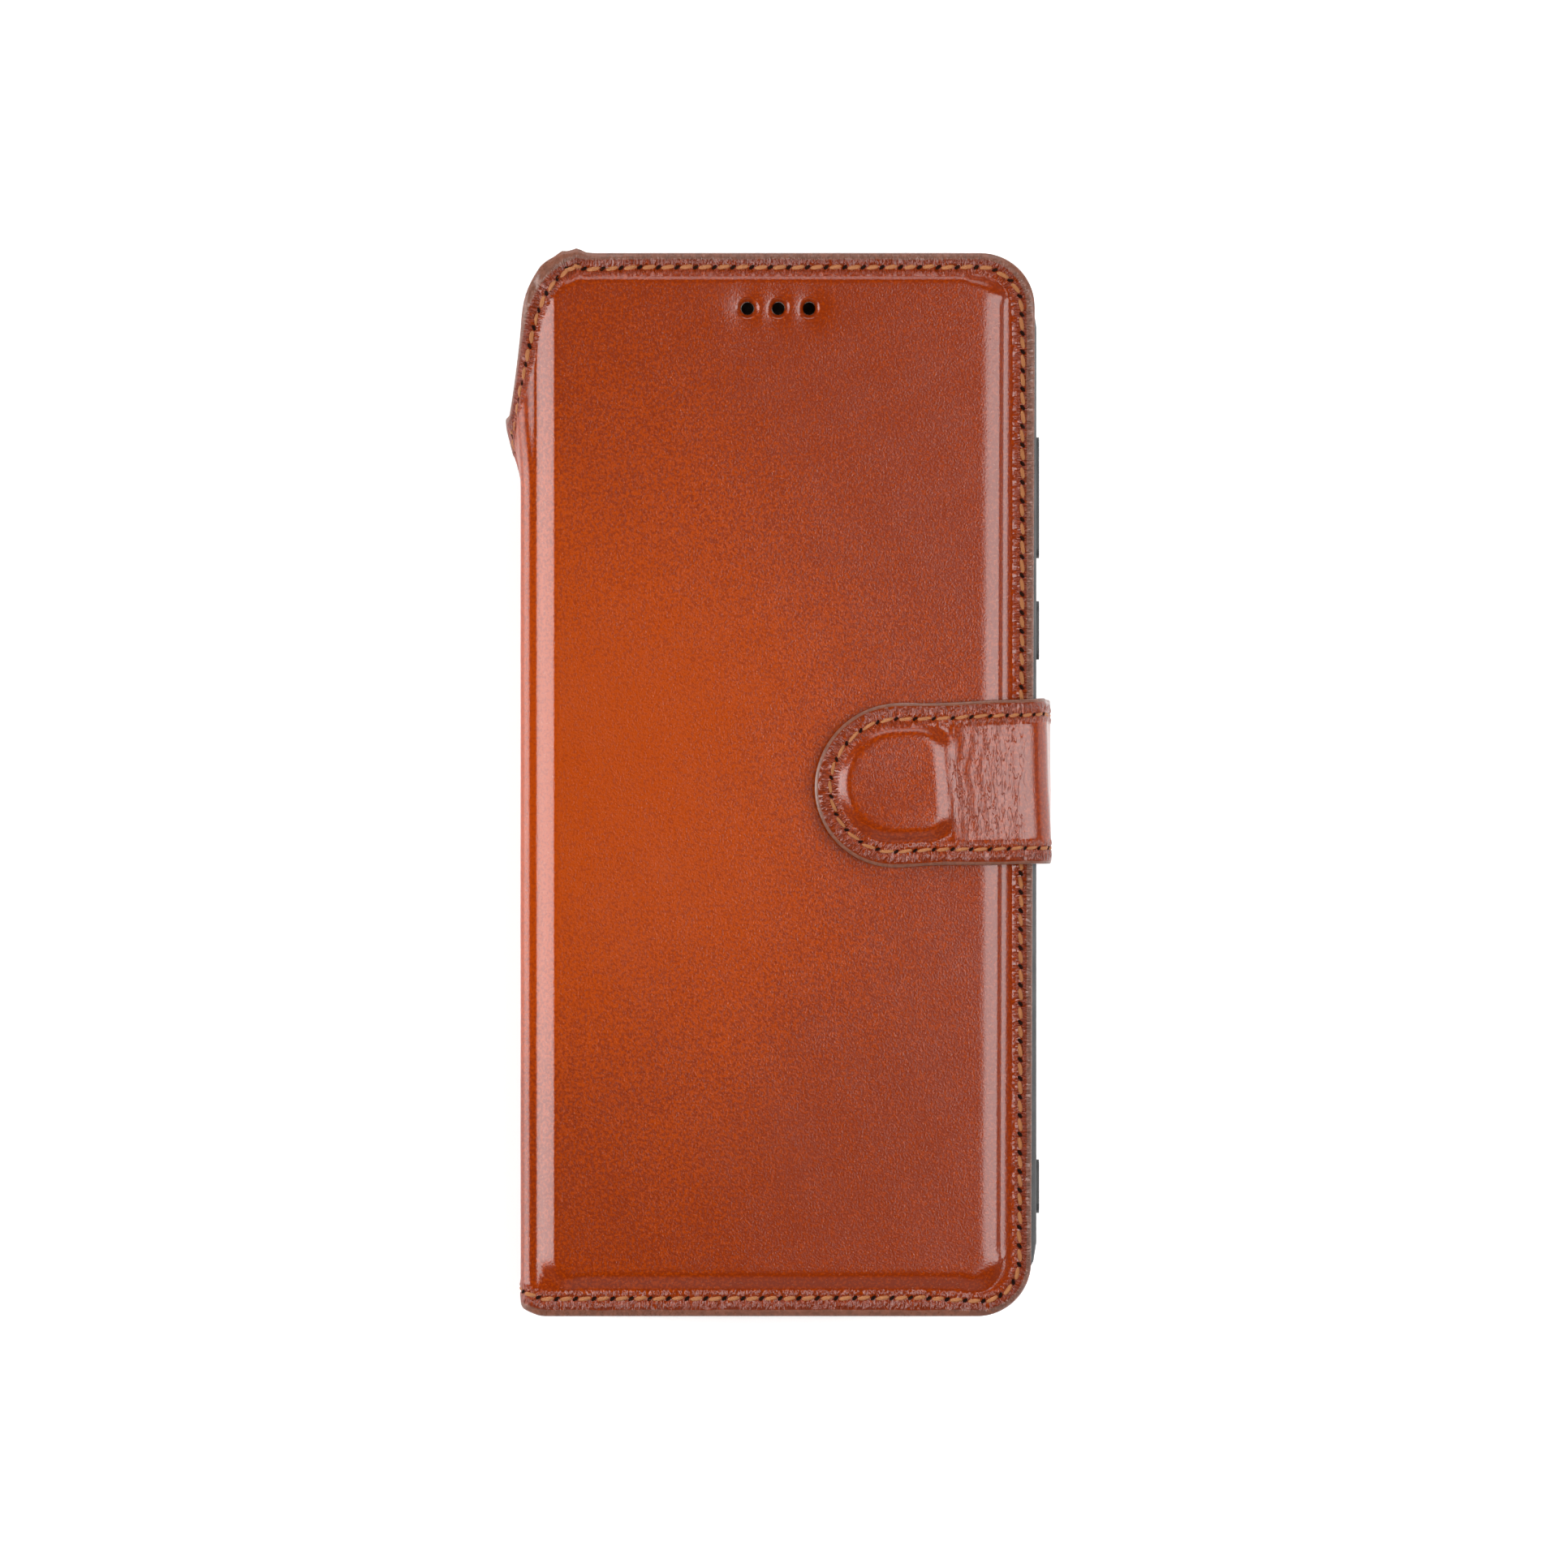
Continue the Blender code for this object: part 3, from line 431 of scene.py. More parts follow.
class Finishes:
    """The finishes of the case, made once."""

    def __init__(self) -> None:
        """Makes every material."""
        self.hide = Hide("glazed_tan_leather").material()
        self.strap = Hide("glazed_strap_leather", paint_width=0.50, creases=(0.0262, 0.0392),
                          ground=Ground.EVEN, tones=(0.7, 1.0)).material()
        self.pocket = Hide("pocket_leather", bright=(0.30, 0.062, 0.010), dark=(0.22, 0.038, 0.008),
                           paint_width=0.5, ground=Ground.EVEN).material()
        self.lining = Suede("suede_lining").material()
        self.thread = Thread("waxed_thread").material()
        # Near-black plugs at the needle holes: painted shade standing in for the holes' dark insides.
        self.needle_hole_shade = Plain("needle_hole_shade", (0.010, 0.003, 0.002), 0.9, (0.018, 0.006, 0.003),
                                 gloss=0.05).material()
        self.rubber = Plain("tray_rubber", (0.030, 0.031, 0.033), 0.48, (0.040, 0.041, 0.043), 3200,
                            0.00002).material()
        self.key_rubber = Plain("key_rubber", (0.045, 0.046, 0.048), 0.42, (0.055, 0.056, 0.058), 3600,
                                0.00002).material()
        self.board = Plain("grey_board", (0.30, 0.26, 0.21), 0.92, (0.38, 0.33, 0.27), 900,
                           0.00006).material()
        self.adhesive = Plain("bonding_adhesive", (0.62, 0.60, 0.54), 0.5, (0.70, 0.68, 0.62), 700,
                              0.00004).material()
        self.magnet = Plain("plated_magnet", (0.62, 0.62, 0.64), 0.30, (0.70, 0.70, 0.72), 2600, 0.00001,
                            1.0).material()
        self.steel = Plain("brushed_steel", (0.50, 0.50, 0.52), 0.34, (0.60, 0.60, 0.62), 1400, 0.00001, 1.0,
                           12.0).material()
        self.plastic = Plain("housing_plastic", (0.05, 0.05, 0.055), 0.45, (0.07, 0.07, 0.075), 2200,
                             0.00002).material()


# Working on meshes

def deselect() -> None:
    """Leaves nothing selected."""
    if bpy.context.object and bpy.context.object.mode != "OBJECT":
        bpy.ops.object.mode_set(mode="OBJECT")
    for obj in bpy.context.view_layer.objects:
        obj.select_set(False)


def pick(obj: bpy.types.Object) -> None:
    """Selects one object and makes it the active one."""
    deselect()
    obj.select_set(True)
    bpy.context.view_layer.objects.active = obj


def places_of(obj: bpy.types.Object) -> np.ndarray:
    """The object's vertices in millimetres, one row each."""
    flat = np.empty(len(obj.data.vertices) * 3)
    obj.data.vertices.foreach_get("co", flat)
    return flat.reshape(-1, 3) / MM


def put(obj: bpy.types.Object, places: np.ndarray) -> None:
    """Moves the object's vertices to places in millimetres."""
    obj.data.vertices.foreach_set("co", (places * MM).ravel())
    obj.data.update()


def apply(obj: bpy.types.Object, kind: str, **settings: object) -> None:
    """Adds a modifier to an object and applies it.

    Args:
        obj: The object.
        kind: The modifier's type.
        **settings: Its settings.
    """
    pick(obj)
    modifier = obj.modifiers.new(kind.lower(), kind)
    for key, value in settings.items():
        setattr(modifier, key, value)
    bpy.ops.object.modifier_apply(modifier=modifier.name)


def shade(obj: bpy.types.Object, degrees: float = 40.0) -> None:
    """Shades an object smooth, with sharp edges where it turns more than an angle."""
    pick(obj)
    bpy.ops.object.shade_smooth_by_angle(angle=math.radians(degrees))


def laid_grid(name: str, points: np.ndarray) -> bpy.types.Object:
    """Lays a grid of faces on points.

    Args:
        name: The object's name.
        points: Rows of columns of points in millimetres. The faces point to where columns x rows points.

    Returns:
        The object, whose vertices are in the order of the points.
    """
    rows, columns = points.shape[:2]
    deselect()
    bpy.ops.mesh.primitive_grid_add(x_subdivisions=columns - 1, y_subdivisions=rows - 1, size=2.0)
    obj = bpy.context.object
    obj.name = obj.data.name = name
    flat = places_of(obj) * MM
    column = np.rint((flat[:, 0] + 1) / 2 * (columns - 1)).astype(int)
    row = np.rint((flat[:, 1] + 1) / 2 * (rows - 1)).astype(int)
    put(obj, points[row, column])
    return obj


def back_wall(obj: bpy.types.Object, thickness: float) -> int:
    """Gives an open sheet a second side and a rim.

    Args:
        obj: The sheet.
        thickness: Its thickness in millimetres, measured inwards.

    Returns:
        How many vertices the first side has. The second side's follow them in the same order.
    """
    count = len(obj.data.vertices)
    apply(obj, "SOLIDIFY", thickness=thickness * MM, offset=-1.0)
    return count


def drop_vertices(obj: bpy.types.Object, chosen: np.ndarray) -> None:
    """Removes some of an object's vertices, with the faces on them."""
    pick(obj)
    bpy.ops.object.mode_set(mode="EDIT")
    bpy.ops.mesh.select_mode(type="VERT")
    bpy.ops.mesh.select_all(action="DESELECT")
    bpy.ops.object.mode_set(mode="OBJECT")
    obj.data.vertices.foreach_set("select", chosen)
    bpy.ops.object.mode_set(mode="EDIT")
    bpy.ops.mesh.delete(type="VERT")
    bpy.ops.object.mode_set(mode="OBJECT")


def punch(obj: bpy.types.Object, x: float, y: float, z: float, radius: float) -> None:
    """Punches a round upright hole through an object.

    Args:
        obj: The object.
        x: The hole's middle, in millimetres.
        y: The same along Y.
        z: A height inside the object there.
        radius: The hole's radius.
    """
    deselect()
    bpy.ops.mesh.primitive_cylinder_add(vertices=40, radius=radius * MM, depth=5 * MM,
                                        location=(x * MM, y * MM, z * MM))
    cutter = bpy.context.object
    apply(obj, "BOOLEAN", operation="DIFFERENCE", solver="EXACT", object=cutter)
    bpy.data.objects.remove(cutter, do_unlink=True)


def flat_area(outline: np.ndarray) -> float:
    """The area inside a flat outline in millimetres, in square metres."""
    p, y = outline.T
    return 0.5 * abs(float((p * np.roll(y, -1) - y * np.roll(p, -1)).sum())) * MM * MM


def face_outwards(obj: bpy.types.Object) -> None:
    """Turns every face of a closed shape outwards."""
    pick(obj)
    bpy.ops.object.mode_set(mode="EDIT")
    bpy.ops.mesh.select_all(action="SELECT")
    bpy.ops.mesh.normals_make_consistent(inside=False)
    bpy.ops.object.mode_set(mode="OBJECT")


def carry(obj: bpy.types.Object, name: str, values: np.ndarray) -> None:
    """Stores a number for each vertex on an object's mesh."""
    layer = obj.data.attributes.get(name) or obj.data.attributes.new(name, "FLOAT", "POINT")
    layer.data.foreach_set("value", values.astype(np.float32))


def carried(obj: bpy.types.Object, name: str) -> np.ndarray:
    """The numbers that an object's mesh carries."""
    values = np.empty(len(obj.data.vertices), np.float32)
    obj.data.attributes[name].data.foreach_get("value", values)
    return values


def in_order(first: np.ndarray, second: np.ndarray, third: np.ndarray | None = None) -> np.ndarray:
    """Two or three numbers for each point of a grid, in the order of a laid grid's vertices."""
    third = np.zeros(first.shape) if third is None else third
    grid = laid_grid("order", np.stack([first, second, third], -1))
    values = places_of(grid).T
    bpy.data.objects.remove(grid, do_unlink=True)
    return values[:2] if not third.any() else values


def carry_seam(obj: bpy.types.Object, edge: np.ndarray, inside: np.ndarray, run: np.ndarray) -> None:
    """Stores each vertex's distance from the cut edge, and its places inside and along the seam."""
    for name, values in (("edge", edge), ("inside", inside), ("along", run)):
        carry(obj, name, values)


def dress(obj: bpy.types.Object, material: bpy.types.Material) -> None:
    """Gives an object one material all over."""
    if obj.data.materials:
        for k in range(len(obj.data.materials)):
            obj.data.materials[k] = material
    else:
        obj.data.materials.append(material)


def report(obj: bpy.types.Object) -> None:
    """Logs a finished piece with its size."""
    LOG.info("%s: %d faces", obj.name, len(obj.data.polygons))


# The case in its flat leather

@dataclass(frozen=True)
class Body:
    """The case's main sizes in millimetres, as the frame has them."""

    fold_x: float = -37.0
    edge_x: float = 40.0
    top_y: float = 83.0
    fold_radius: float = 3.0
    face_z: float = 20.0
    corner: float = 8.5
    leather: float = 1.2
    notch_start: float = -29.0
    notch_ramp: float = 25.0
    notch_depth: float = 38.0
    foot_rise: float = 1.5

    @property
    def quarter(self) -> float:
        """The leather's length round one fold."""
        return self.fold_radius * math.pi / 2

    @property
    def middle(self) -> float:
        """The place across the leather of the middle of the spine."""
        return self.fold_x - self.quarter - (self.face_z / 2 - self.fold_radius)

    def wrap(self, side: Side, p: np.ndarray, y: np.ndarray, out: np.ndarray) -> np.ndarray:
        """Lays flat leather on the case and round its spine. Beside the camera notch the front's stands open.

        Args:
            side: The broad side on which the leather starts.
            p: Places across the leather, the same as X on the broad side and running on round the spine.
            y: Places along it.
            out: Heights over the leather's outer face.

        Returns:
            Points in millimetres.
        """
        s = self.fold_x - p
        turn = np.clip(s / self.fold_radius, 0, math.pi / 2)
        radius = self.fold_radius + out
        down = np.clip(s - self.quarter, 0, None)
        x = np.where(s > 0, self.fold_x - radius * np.sin(turn), p)
        z = self.face_z - self.fold_radius + radius * np.cos(turn) - down
        z = np.where(s > 0, z, self.face_z + out)
        if side is Side.BACK:
            z = self.face_z - z
        else:
            level, steep = math.radians(9), np.radians(np.interp(y, (55, 62, 70.6, 76.3), (64, 58, 42, 14)))
            bend = (s - np.interp(y, (55, 62, 70.6, 76.3), (3.2, 2.8, 1.2, -0.4))) / 0.45
            past = 0.45 * np.logaddexp(0, bend) - 0.45 * np.logaddexp(0, bend - s / 0.45)
            tilt = level + (steep - level) / (1 + np.exp(-bend))
            share = ease((y - 46) / 14) * ease(s / 0.8)
            stands = self.fold_x - (s - past) * math.cos(level) - past * np.cos(steep) - out * np.sin(tilt)
            x = x + share * (stands - x)
            low = self.face_z - (s - past) * math.sin(level) - past * np.sin(steep) + out * np.cos(tilt)
            z = z + share * (low - z)
        lean = 0.0038 * (y - 8.0) * ease((x - 20) / 18) if side is Side.FRONT else 0.0
        return np.stack([x + lean, y, z], -1)

    def unwrap(self, side: Side, places: np.ndarray) -> tuple[np.ndarray, np.ndarray]:
        """The flat places, across and along, of points on the case's leather."""
        x, y, z = places.T
        if side is Side.BACK:
            z = self.face_z - z
        low = self.face_z - self.fold_radius
        turn = np.clip(np.arctan2(self.fold_x - x, z - low), 0, math.pi / 2)
        wall = self.fold_x - self.quarter - (low - z)
        p = np.where(x > self.fold_x, x, np.where(z < low, wall, self.fold_x - turn * self.fold_radius))
        return p, y

    def foot(self, p: np.ndarray) -> np.ndarray:
        """The leather's lower edge at places across it."""
        rise = self.foot_rise * ease((self.fold_x + 1.0 - p) / 6.5)
        return -self.top_y + rise + self.corner_drop(p)

    def corner_drop(self, p: np.ndarray) -> np.ndarray:
        """How far the free corners fall short of the case's ends at places across the leather."""
        over = np.clip(p - (self.edge_x - self.corner), 0, self.corner)
        return self.corner - np.sqrt(self.corner ** 2 - over ** 2)

    def notch(self, p: np.ndarray) -> np.ndarray:
        """How deep the camera notch is at places across the leather."""
        reach = 2.6 * hump(p, -43.2, 3.4) * ease((p - self.middle) / 4)
        s = np.clip(self.notch_start - p + reach, 0, self.notch_ramp)
        return self.notch_depth * ((1 - np.cos(math.pi * s / self.notch_ramp)) / 2) ** 2

    def hinge_line(self, p: np.ndarray, y: np.ndarray) -> np.ndarray:
        """The crease along a fold and the spine's shoulder beside it, as heights."""
        crease = -0.30 * hump(p, self.fold_x - 0.7, 0.85) * ease((81 - np.abs(y)) / 5)
        return crease + 0.28 * hump(p, self.fold_x - 2.9, 1.4)

    def front_top(self, p: np.ndarray) -> np.ndarray:
        """The front leather's upper edge, with the two small nubs where the notch starts."""
        nubs = 0.75 * hump(p, -31.3, 1.1) + 0.55 * hump(p, -33.5, 0.9)
        return self.top_y - self.notch(p) - self.corner_drop(p) + nubs


class CutLine:
    """A sheet's cut edge in its flat leather, with the seam that runs inside it."""

    def __init__(self, points: list[Point], insets: list[tuple[float, float]], pitch: float) -> None:
        """Follows the edge in small steps.

        Args:
            points: The edge, anticlockwise round the leather.
            insets: Shares of the edge's length and how far inside it the seam runs there.
            pitch: The stitches' usual length.
        """
        raw = np.array(points, float)
        keep = np.concatenate([[True], np.hypot(*np.diff(raw, axis=0).T) > 1e-6])
        raw = raw[keep]
        length = np.concatenate([[0], np.cumsum(np.hypot(*np.diff(raw, axis=0).T))])
        steps = np.linspace(0, length[-1], int(length[-1] / 0.2) + 1)
        self.points = np.stack([np.interp(steps, length, raw[:, k]) for k in (0, 1)], -1)
        self.steps = steps
        ahead = np.gradient(self.points, axis=0)
        for _ in range(3):
            ahead[1:-1] = (ahead[:-2] + 2 * ahead[1:-1] + ahead[2:]) / 4
        ahead /= np.hypot(*ahead.T)[:, None]
        self.inward = np.stack([-ahead[:, 1], ahead[:, 0]], -1)
        shares, sizes = zip(*insets)
        self.inset = np.interp(steps / steps[-1], shares, sizes)
        self.seam = self.points + self.inward * self.inset[:, None]
        self.run = np.concatenate([[0], np.cumsum(np.hypot(*np.diff(self.seam, axis=0).T))])
        self.count = max(1, round(self.run[-1] / pitch))
        self.pitch = self.run[-1] / self.count
        self.tree = kdtree.KDTree(len(self.points))
        for k, (p, y) in enumerate(self.points):
            self.tree.insert((p, y, 0), k)
        self.tree.balance()

    def near(self, p: np.ndarray, y: np.ndarray) -> tuple[np.ndarray, np.ndarray, np.ndarray]:
        """How places lie to the edge and its seam.

        Args:
            p: Places across the leather.
            y: Places along it.

        Returns:
            The distance from the cut edge, the distance inside the seam, and the place along the seam.
        """
        flat = np.stack([np.ravel(p), np.ravel(y)], -1)
        index = np.array([self.tree.find((a, b, 0))[1] for a, b in flat])
        best = np.full(len(flat), 1e9)
        along = np.zeros(len(flat))
        for shift in (-1, 0):
            first = np.clip(index + shift, 0, len(self.points) - 2)
            start, end = self.points[first], self.points[first + 1]
            leg = end - start
            t = np.clip(((flat - start) * leg).sum(-1) / (leg * leg).sum(-1), 0, 1)
            far = np.hypot(*(flat - start - leg * t[:, None]).T)
            along = np.where(far < best, self.steps[first] + t * (self.steps[1] - self.steps[0]), along)
            best = np.minimum(best, far)
        inside = best - np.interp(along, self.steps, self.inset)
        run = np.interp(along, self.steps, self.run)
        shape = np.shape(p)
        return best.reshape(shape), inside.reshape(shape), run.reshape(shape)

    def at(self, run: np.ndarray, across: np.ndarray) -> tuple[np.ndarray, np.ndarray]:
        """Flat places at lengths along the seam, moved inwards across it."""
        seam = [np.interp(run, self.run, self.seam[:, k]) for k in (0, 1)]
        inward = [np.interp(run, self.run, self.inward[:, k]) for k in (0, 1)]
        past = run - np.clip(run, 0, self.run[-1])
        ahead = (inward[1], -inward[0])
        return tuple(seam[k] + inward[k] * across + ahead[k] * past for k in (0, 1))


def rim_relief(line: CutLine, p: np.ndarray, y: np.ndarray, roll: float, pucker: float,
               band: float) -> np.ndarray:
    """The height of leather near its cut edge and its seam.

    Args:
        line: The edge and its seam.
        p: Places across the leather.
        y: Places along it.
        roll: How far the edge is rounded off.
        pucker: How high the leather is drawn up between the holes.
        band: The height of the swelling just inside the seam.

    Returns:
        Heights over the flat leather.
    """
    edge, inside, run = line.near(p, y)
    width = 1.15
    rolled = -roll * (1 - np.sqrt(np.clip(1 - np.clip(1 - edge / width, 0, 1) ** 2.2, 0, 1)))
    pull = np.cos(2 * math.pi * run / line.pitch)
    pull2 = np.sin(2 * math.pi * (run * 0.37 + edge * 0.5)) * np.sin(1.7 * run)
    rim = hump(inside, -0.75, 0.55) * (-0.45 * pull + 0.35 * pull2) * pucker
    inner = hump(inside, 0.75, 0.5) * (band - 0.3 * pucker * pull)
    valley = -0.20 * hump(inside, 0.0, 0.42)
    return rolled + rim + inner + valley


def rounded_drop(far: np.ndarray, radius: float, foot: float, steepest: float) -> np.ndarray:
    """How far leather falls where it goes over a rounded shoulder and flattens at its foot.

    Args:
        far: Distances outside the flat top.
        radius: The shoulder's radius.
        foot: The radius of the hollow at its foot.
        steepest: The steepest slope, in degrees.

    Returns:
        The drops, which stay the same past the foot.
    """
    tilt = math.radians(steepest)
    turn = radius * math.sin(tilt)
    whole = turn + foot * math.sin(tilt)
    u = np.clip(far, 0, whole)
    upper = radius - np.sqrt(np.clip(radius ** 2 - np.minimum(u, turn) ** 2, 0, None))
    left = whole - u
    low = foot - np.sqrt(np.clip(foot ** 2 - np.minimum(left, foot * math.sin(tilt)) ** 2, 0, None))
    total = (radius + foot) * (1 - math.cos(tilt))
    return np.where(u < turn, upper, total - low)


def profile_drop(far: np.ndarray, places: tuple[float, ...], slopes: tuple[float, ...]) -> np.ndarray:
    """How far leather has fallen over an edge whose slopes are given, as a share of the whole fall.

    Args:
        far: Distances outside the flat top, as shares of the edge's width.
        places: Where the slopes are given, from 0 to 1.
        slopes: The slopes there, in degrees.

    Returns:
        The drops, from 0 on the flat top to 1 past the edge.
    """
    fine = np.linspace(0, 1, 200)
    steps = np.tan(np.radians(np.interp(fine, places, slopes)))
    fallen = np.concatenate([[0], np.cumsum((steps[1:] + steps[:-1]) / 2)])
    return np.interp(far, fine, fallen / fallen[-1])


def thinned(grid: np.ndarray) -> np.ndarray:
    """Every other row and column of a grid, with its last ones."""
    rows, columns = (np.unique([*range(0, n, 2), n - 1]) for n in grid.shape)
    return grid[rows][:, columns]


def spaced(start: float, end: float, step: float) -> list[float]:
    """Even places from a start up to an end, without the end."""
    count = max(1, round(abs(end - start) / step))
    return list(np.linspace(start, end, count + 1)[:-1])


RIM_STEPS = (0.0, 0.10, 0.26, 0.48, 0.75, 1.02, 1.30, 1.58, 1.86, 2.14, 2.44, 2.78, 3.15, 3.55, 3.98, 4.42,
             4.88, 5.36, 5.86, 6.4, 7.0)


# Stitches

class Stitches:
    """Stitches modelled once and copied along a seam, each bending with the leather it lies on."""

    def __init__(self, finishes: Finishes) -> None:
        """Models one stitch and one dark plug that paints the shade inside a needle hole, in millimetres: X
        along the seam, Y inwards, Z up.
        """
        self.finishes = finishes
        self.strand = self.model_strand()
        self.hole = self.model_hole_shade_plug()

    @staticmethod
    def read(obj: bpy.types.Object) -> tuple[np.ndarray, list[tuple[int, ...]]]:
        """The vertices and faces of a modelled shape, which is then removed."""
        shape = places_of(obj) * MM, [tuple(face.vertices) for face in obj.data.polygons]
        bpy.data.objects.remove(obj, do_unlink=True)
        return shape

    def model_strand(self) -> tuple[np.ndarray, list[tuple[int, ...]]]:
        """A strand from -1 to 1 along X with a radius of 1, cut across so that it can bend."""
        deselect()
        bpy.ops.mesh.primitive_cylinder_add(vertices=6, radius=1.0, depth=2.0, rotation=(0, math.pi / 2, 0))
        obj = bpy.context.object
        bpy.ops.object.transform_apply(location=False, rotation=True, scale=False)
        bpy.ops.object.mode_set(mode="EDIT")
        for place in (-0.82, -0.5, 0.0, 0.5, 0.82):
            bpy.ops.mesh.select_all(action="SELECT")
            bpy.ops.mesh.bisect(plane_co=(place, 0, 0), plane_no=(1, 0, 0))
        bpy.ops.object.mode_set(mode="OBJECT")
        return self.read(obj)

    def model_hole_shade_plug(self) -> tuple[np.ndarray, list[tuple[int, ...]]]:
        """A shallow wedge-shaped plug, 2 long and 2 wide, with its top at 0; its near-black finish paints the
        shade inside a needle hole.
        """
        deselect()
        bpy.ops.mesh.primitive_cone_add(vertices=8, radius1=0.6, radius2=1.0, depth=0.5,
                                        location=(0, 0, -0.25))
        obj = bpy.context.object
        bpy.ops.object.transform_apply(location=True, rotation=False, scale=False)
        bpy.ops.object.mode_set(mode="EDIT")
        bpy.ops.mesh.select_all(action="DESELECT")
        bpy.ops.object.mode_set(mode="OBJECT")
        for face in obj.data.polygons:
            face.select = face.normal.z > 0.9
        bpy.ops.object.mode_set(mode="EDIT")
        bpy.ops.mesh.inset(thickness=0.35, depth=-0.12)
        bpy.ops.object.mode_set(mode="OBJECT")
        return self.read(obj)

    @staticmethod
    def copies(name: str, places: np.ndarray, faces: list[tuple[int, ...]],
               material: bpy.types.Material) -> bpy.types.Object:
        """One object from many copies of a shape.

        Args:
            name: The object's name.
            places: Copies of the shape's vertices, in millimetres.
            faces: The shape's faces.
            material: Its material.

        Returns:
            The object.
        """
        copies, count = places.shape[:2]
        mesh = bpy.data.meshes.new(name)
        mesh.from_pydata((places * MM).reshape(-1, 3).tolist(), [],
                         [tuple(k * count + i for i in face) for k in range(copies) for face in faces])
        obj = bpy.data.objects.new(name, mesh)
        bpy.context.scene.collection.objects.link(obj)
        dress(obj, material)
        face_outwards(obj)
        shade(obj, 60)
        return obj

    def strand_map(self, obj: bpy.types.Object, copies: int) -> None:
        """Lays a UV map along each strand, so that the thread's twist follows it."""
        verts, _ = self.strand
        along = np.tile(verts[:, 0] * 9, copies)
        round_ = np.tile(np.arctan2(verts[:, 2], verts[:, 1]) / math.pi * 3, copies)
        loops = np.empty(len(obj.data.loops), int)
        obj.data.loops.foreach_get("vertex_index", loops)
        layer = obj.data.uv_layers.new(name="strand")
        layer.data.foreach_set("uv", np.stack([along[loops], round_[loops]], -1).ravel())

    def sew(self, name: str, line: CutLine, surface: Callable[..., np.ndarray], radius: float = 0.33,
            slant: float = 0.13, hole: float = 0.47, first: int = 0, last: int = 0) -> list[bpy.types.Object]:
        """Sews a seam.

        Args:
            name: The thread's name. The dark plugs that paint the holes' shade are named after it.
            line: The seam.
            surface: Gives points for flat places and heights over the leather's surface.
            radius: The thread's radius.
            slant: How far each stitch lies across the seam.
            hole: Half a needle hole's length.
            first: Stitches left out at the start.
            last: Stitches left out at the end.

        Returns:
            The thread and the dark plugs that paint the shade in its holes.
        """
        picks = np.arange(first, line.count - last)
        rng = np.random.default_rng(len(name))
        jitter = rng.normal(0, 1, (len(picks), 4))
        verts, faces = self.strand
        half = (line.pitch - 2.0 * hole) / 2
        u = verts[:, 0][None]
        waist = 1 - 0.30 * np.abs(u) ** 3
        lift = 0.62 * radius * (1 - np.abs(u) ** 3.5) - 0.55 * radius
        run = (picks[:, None] + 0.5) * line.pitch + u * half * (1 + 0.03 * jitter[:, :1])
        across = verts[:, 1][None] * radius * waist + slant * u + 0.035 * jitter[:, 1:2]
        up = verts[:, 2][None] * radius * 0.85 * waist + lift + 0.02 * jitter[:, 2:3]
        thread = self.copies(name, surface(*line.at(run, across), up), faces, self.finishes.thread)
        self.strand_map(thread, len(picks))
        picks = np.arange(first, line.count - last + 1)
        verts, faces = self.hole
        lean = verts[:, 0] * 0.85 + verts[:, 1] * 0.35
        run = picks[:, None] * line.pitch + (lean * hole)[None]
        across = np.repeat((verts[:, 1] * hole * 0.82 + verts[:, 0] * 0.12 * hole)[None], len(picks), 0)
        up = np.repeat((verts[:, 2] * 0.25 + 0.07)[None], len(picks), 0)
        places = surface(*line.at(run, across), up)
        # Near-black plugs that paint the shade inside each needle hole.
        holes = self.copies(name + "_holes", places, faces, self.finishes.needle_hole_shade)
        return [thread, holes]


# The front leather

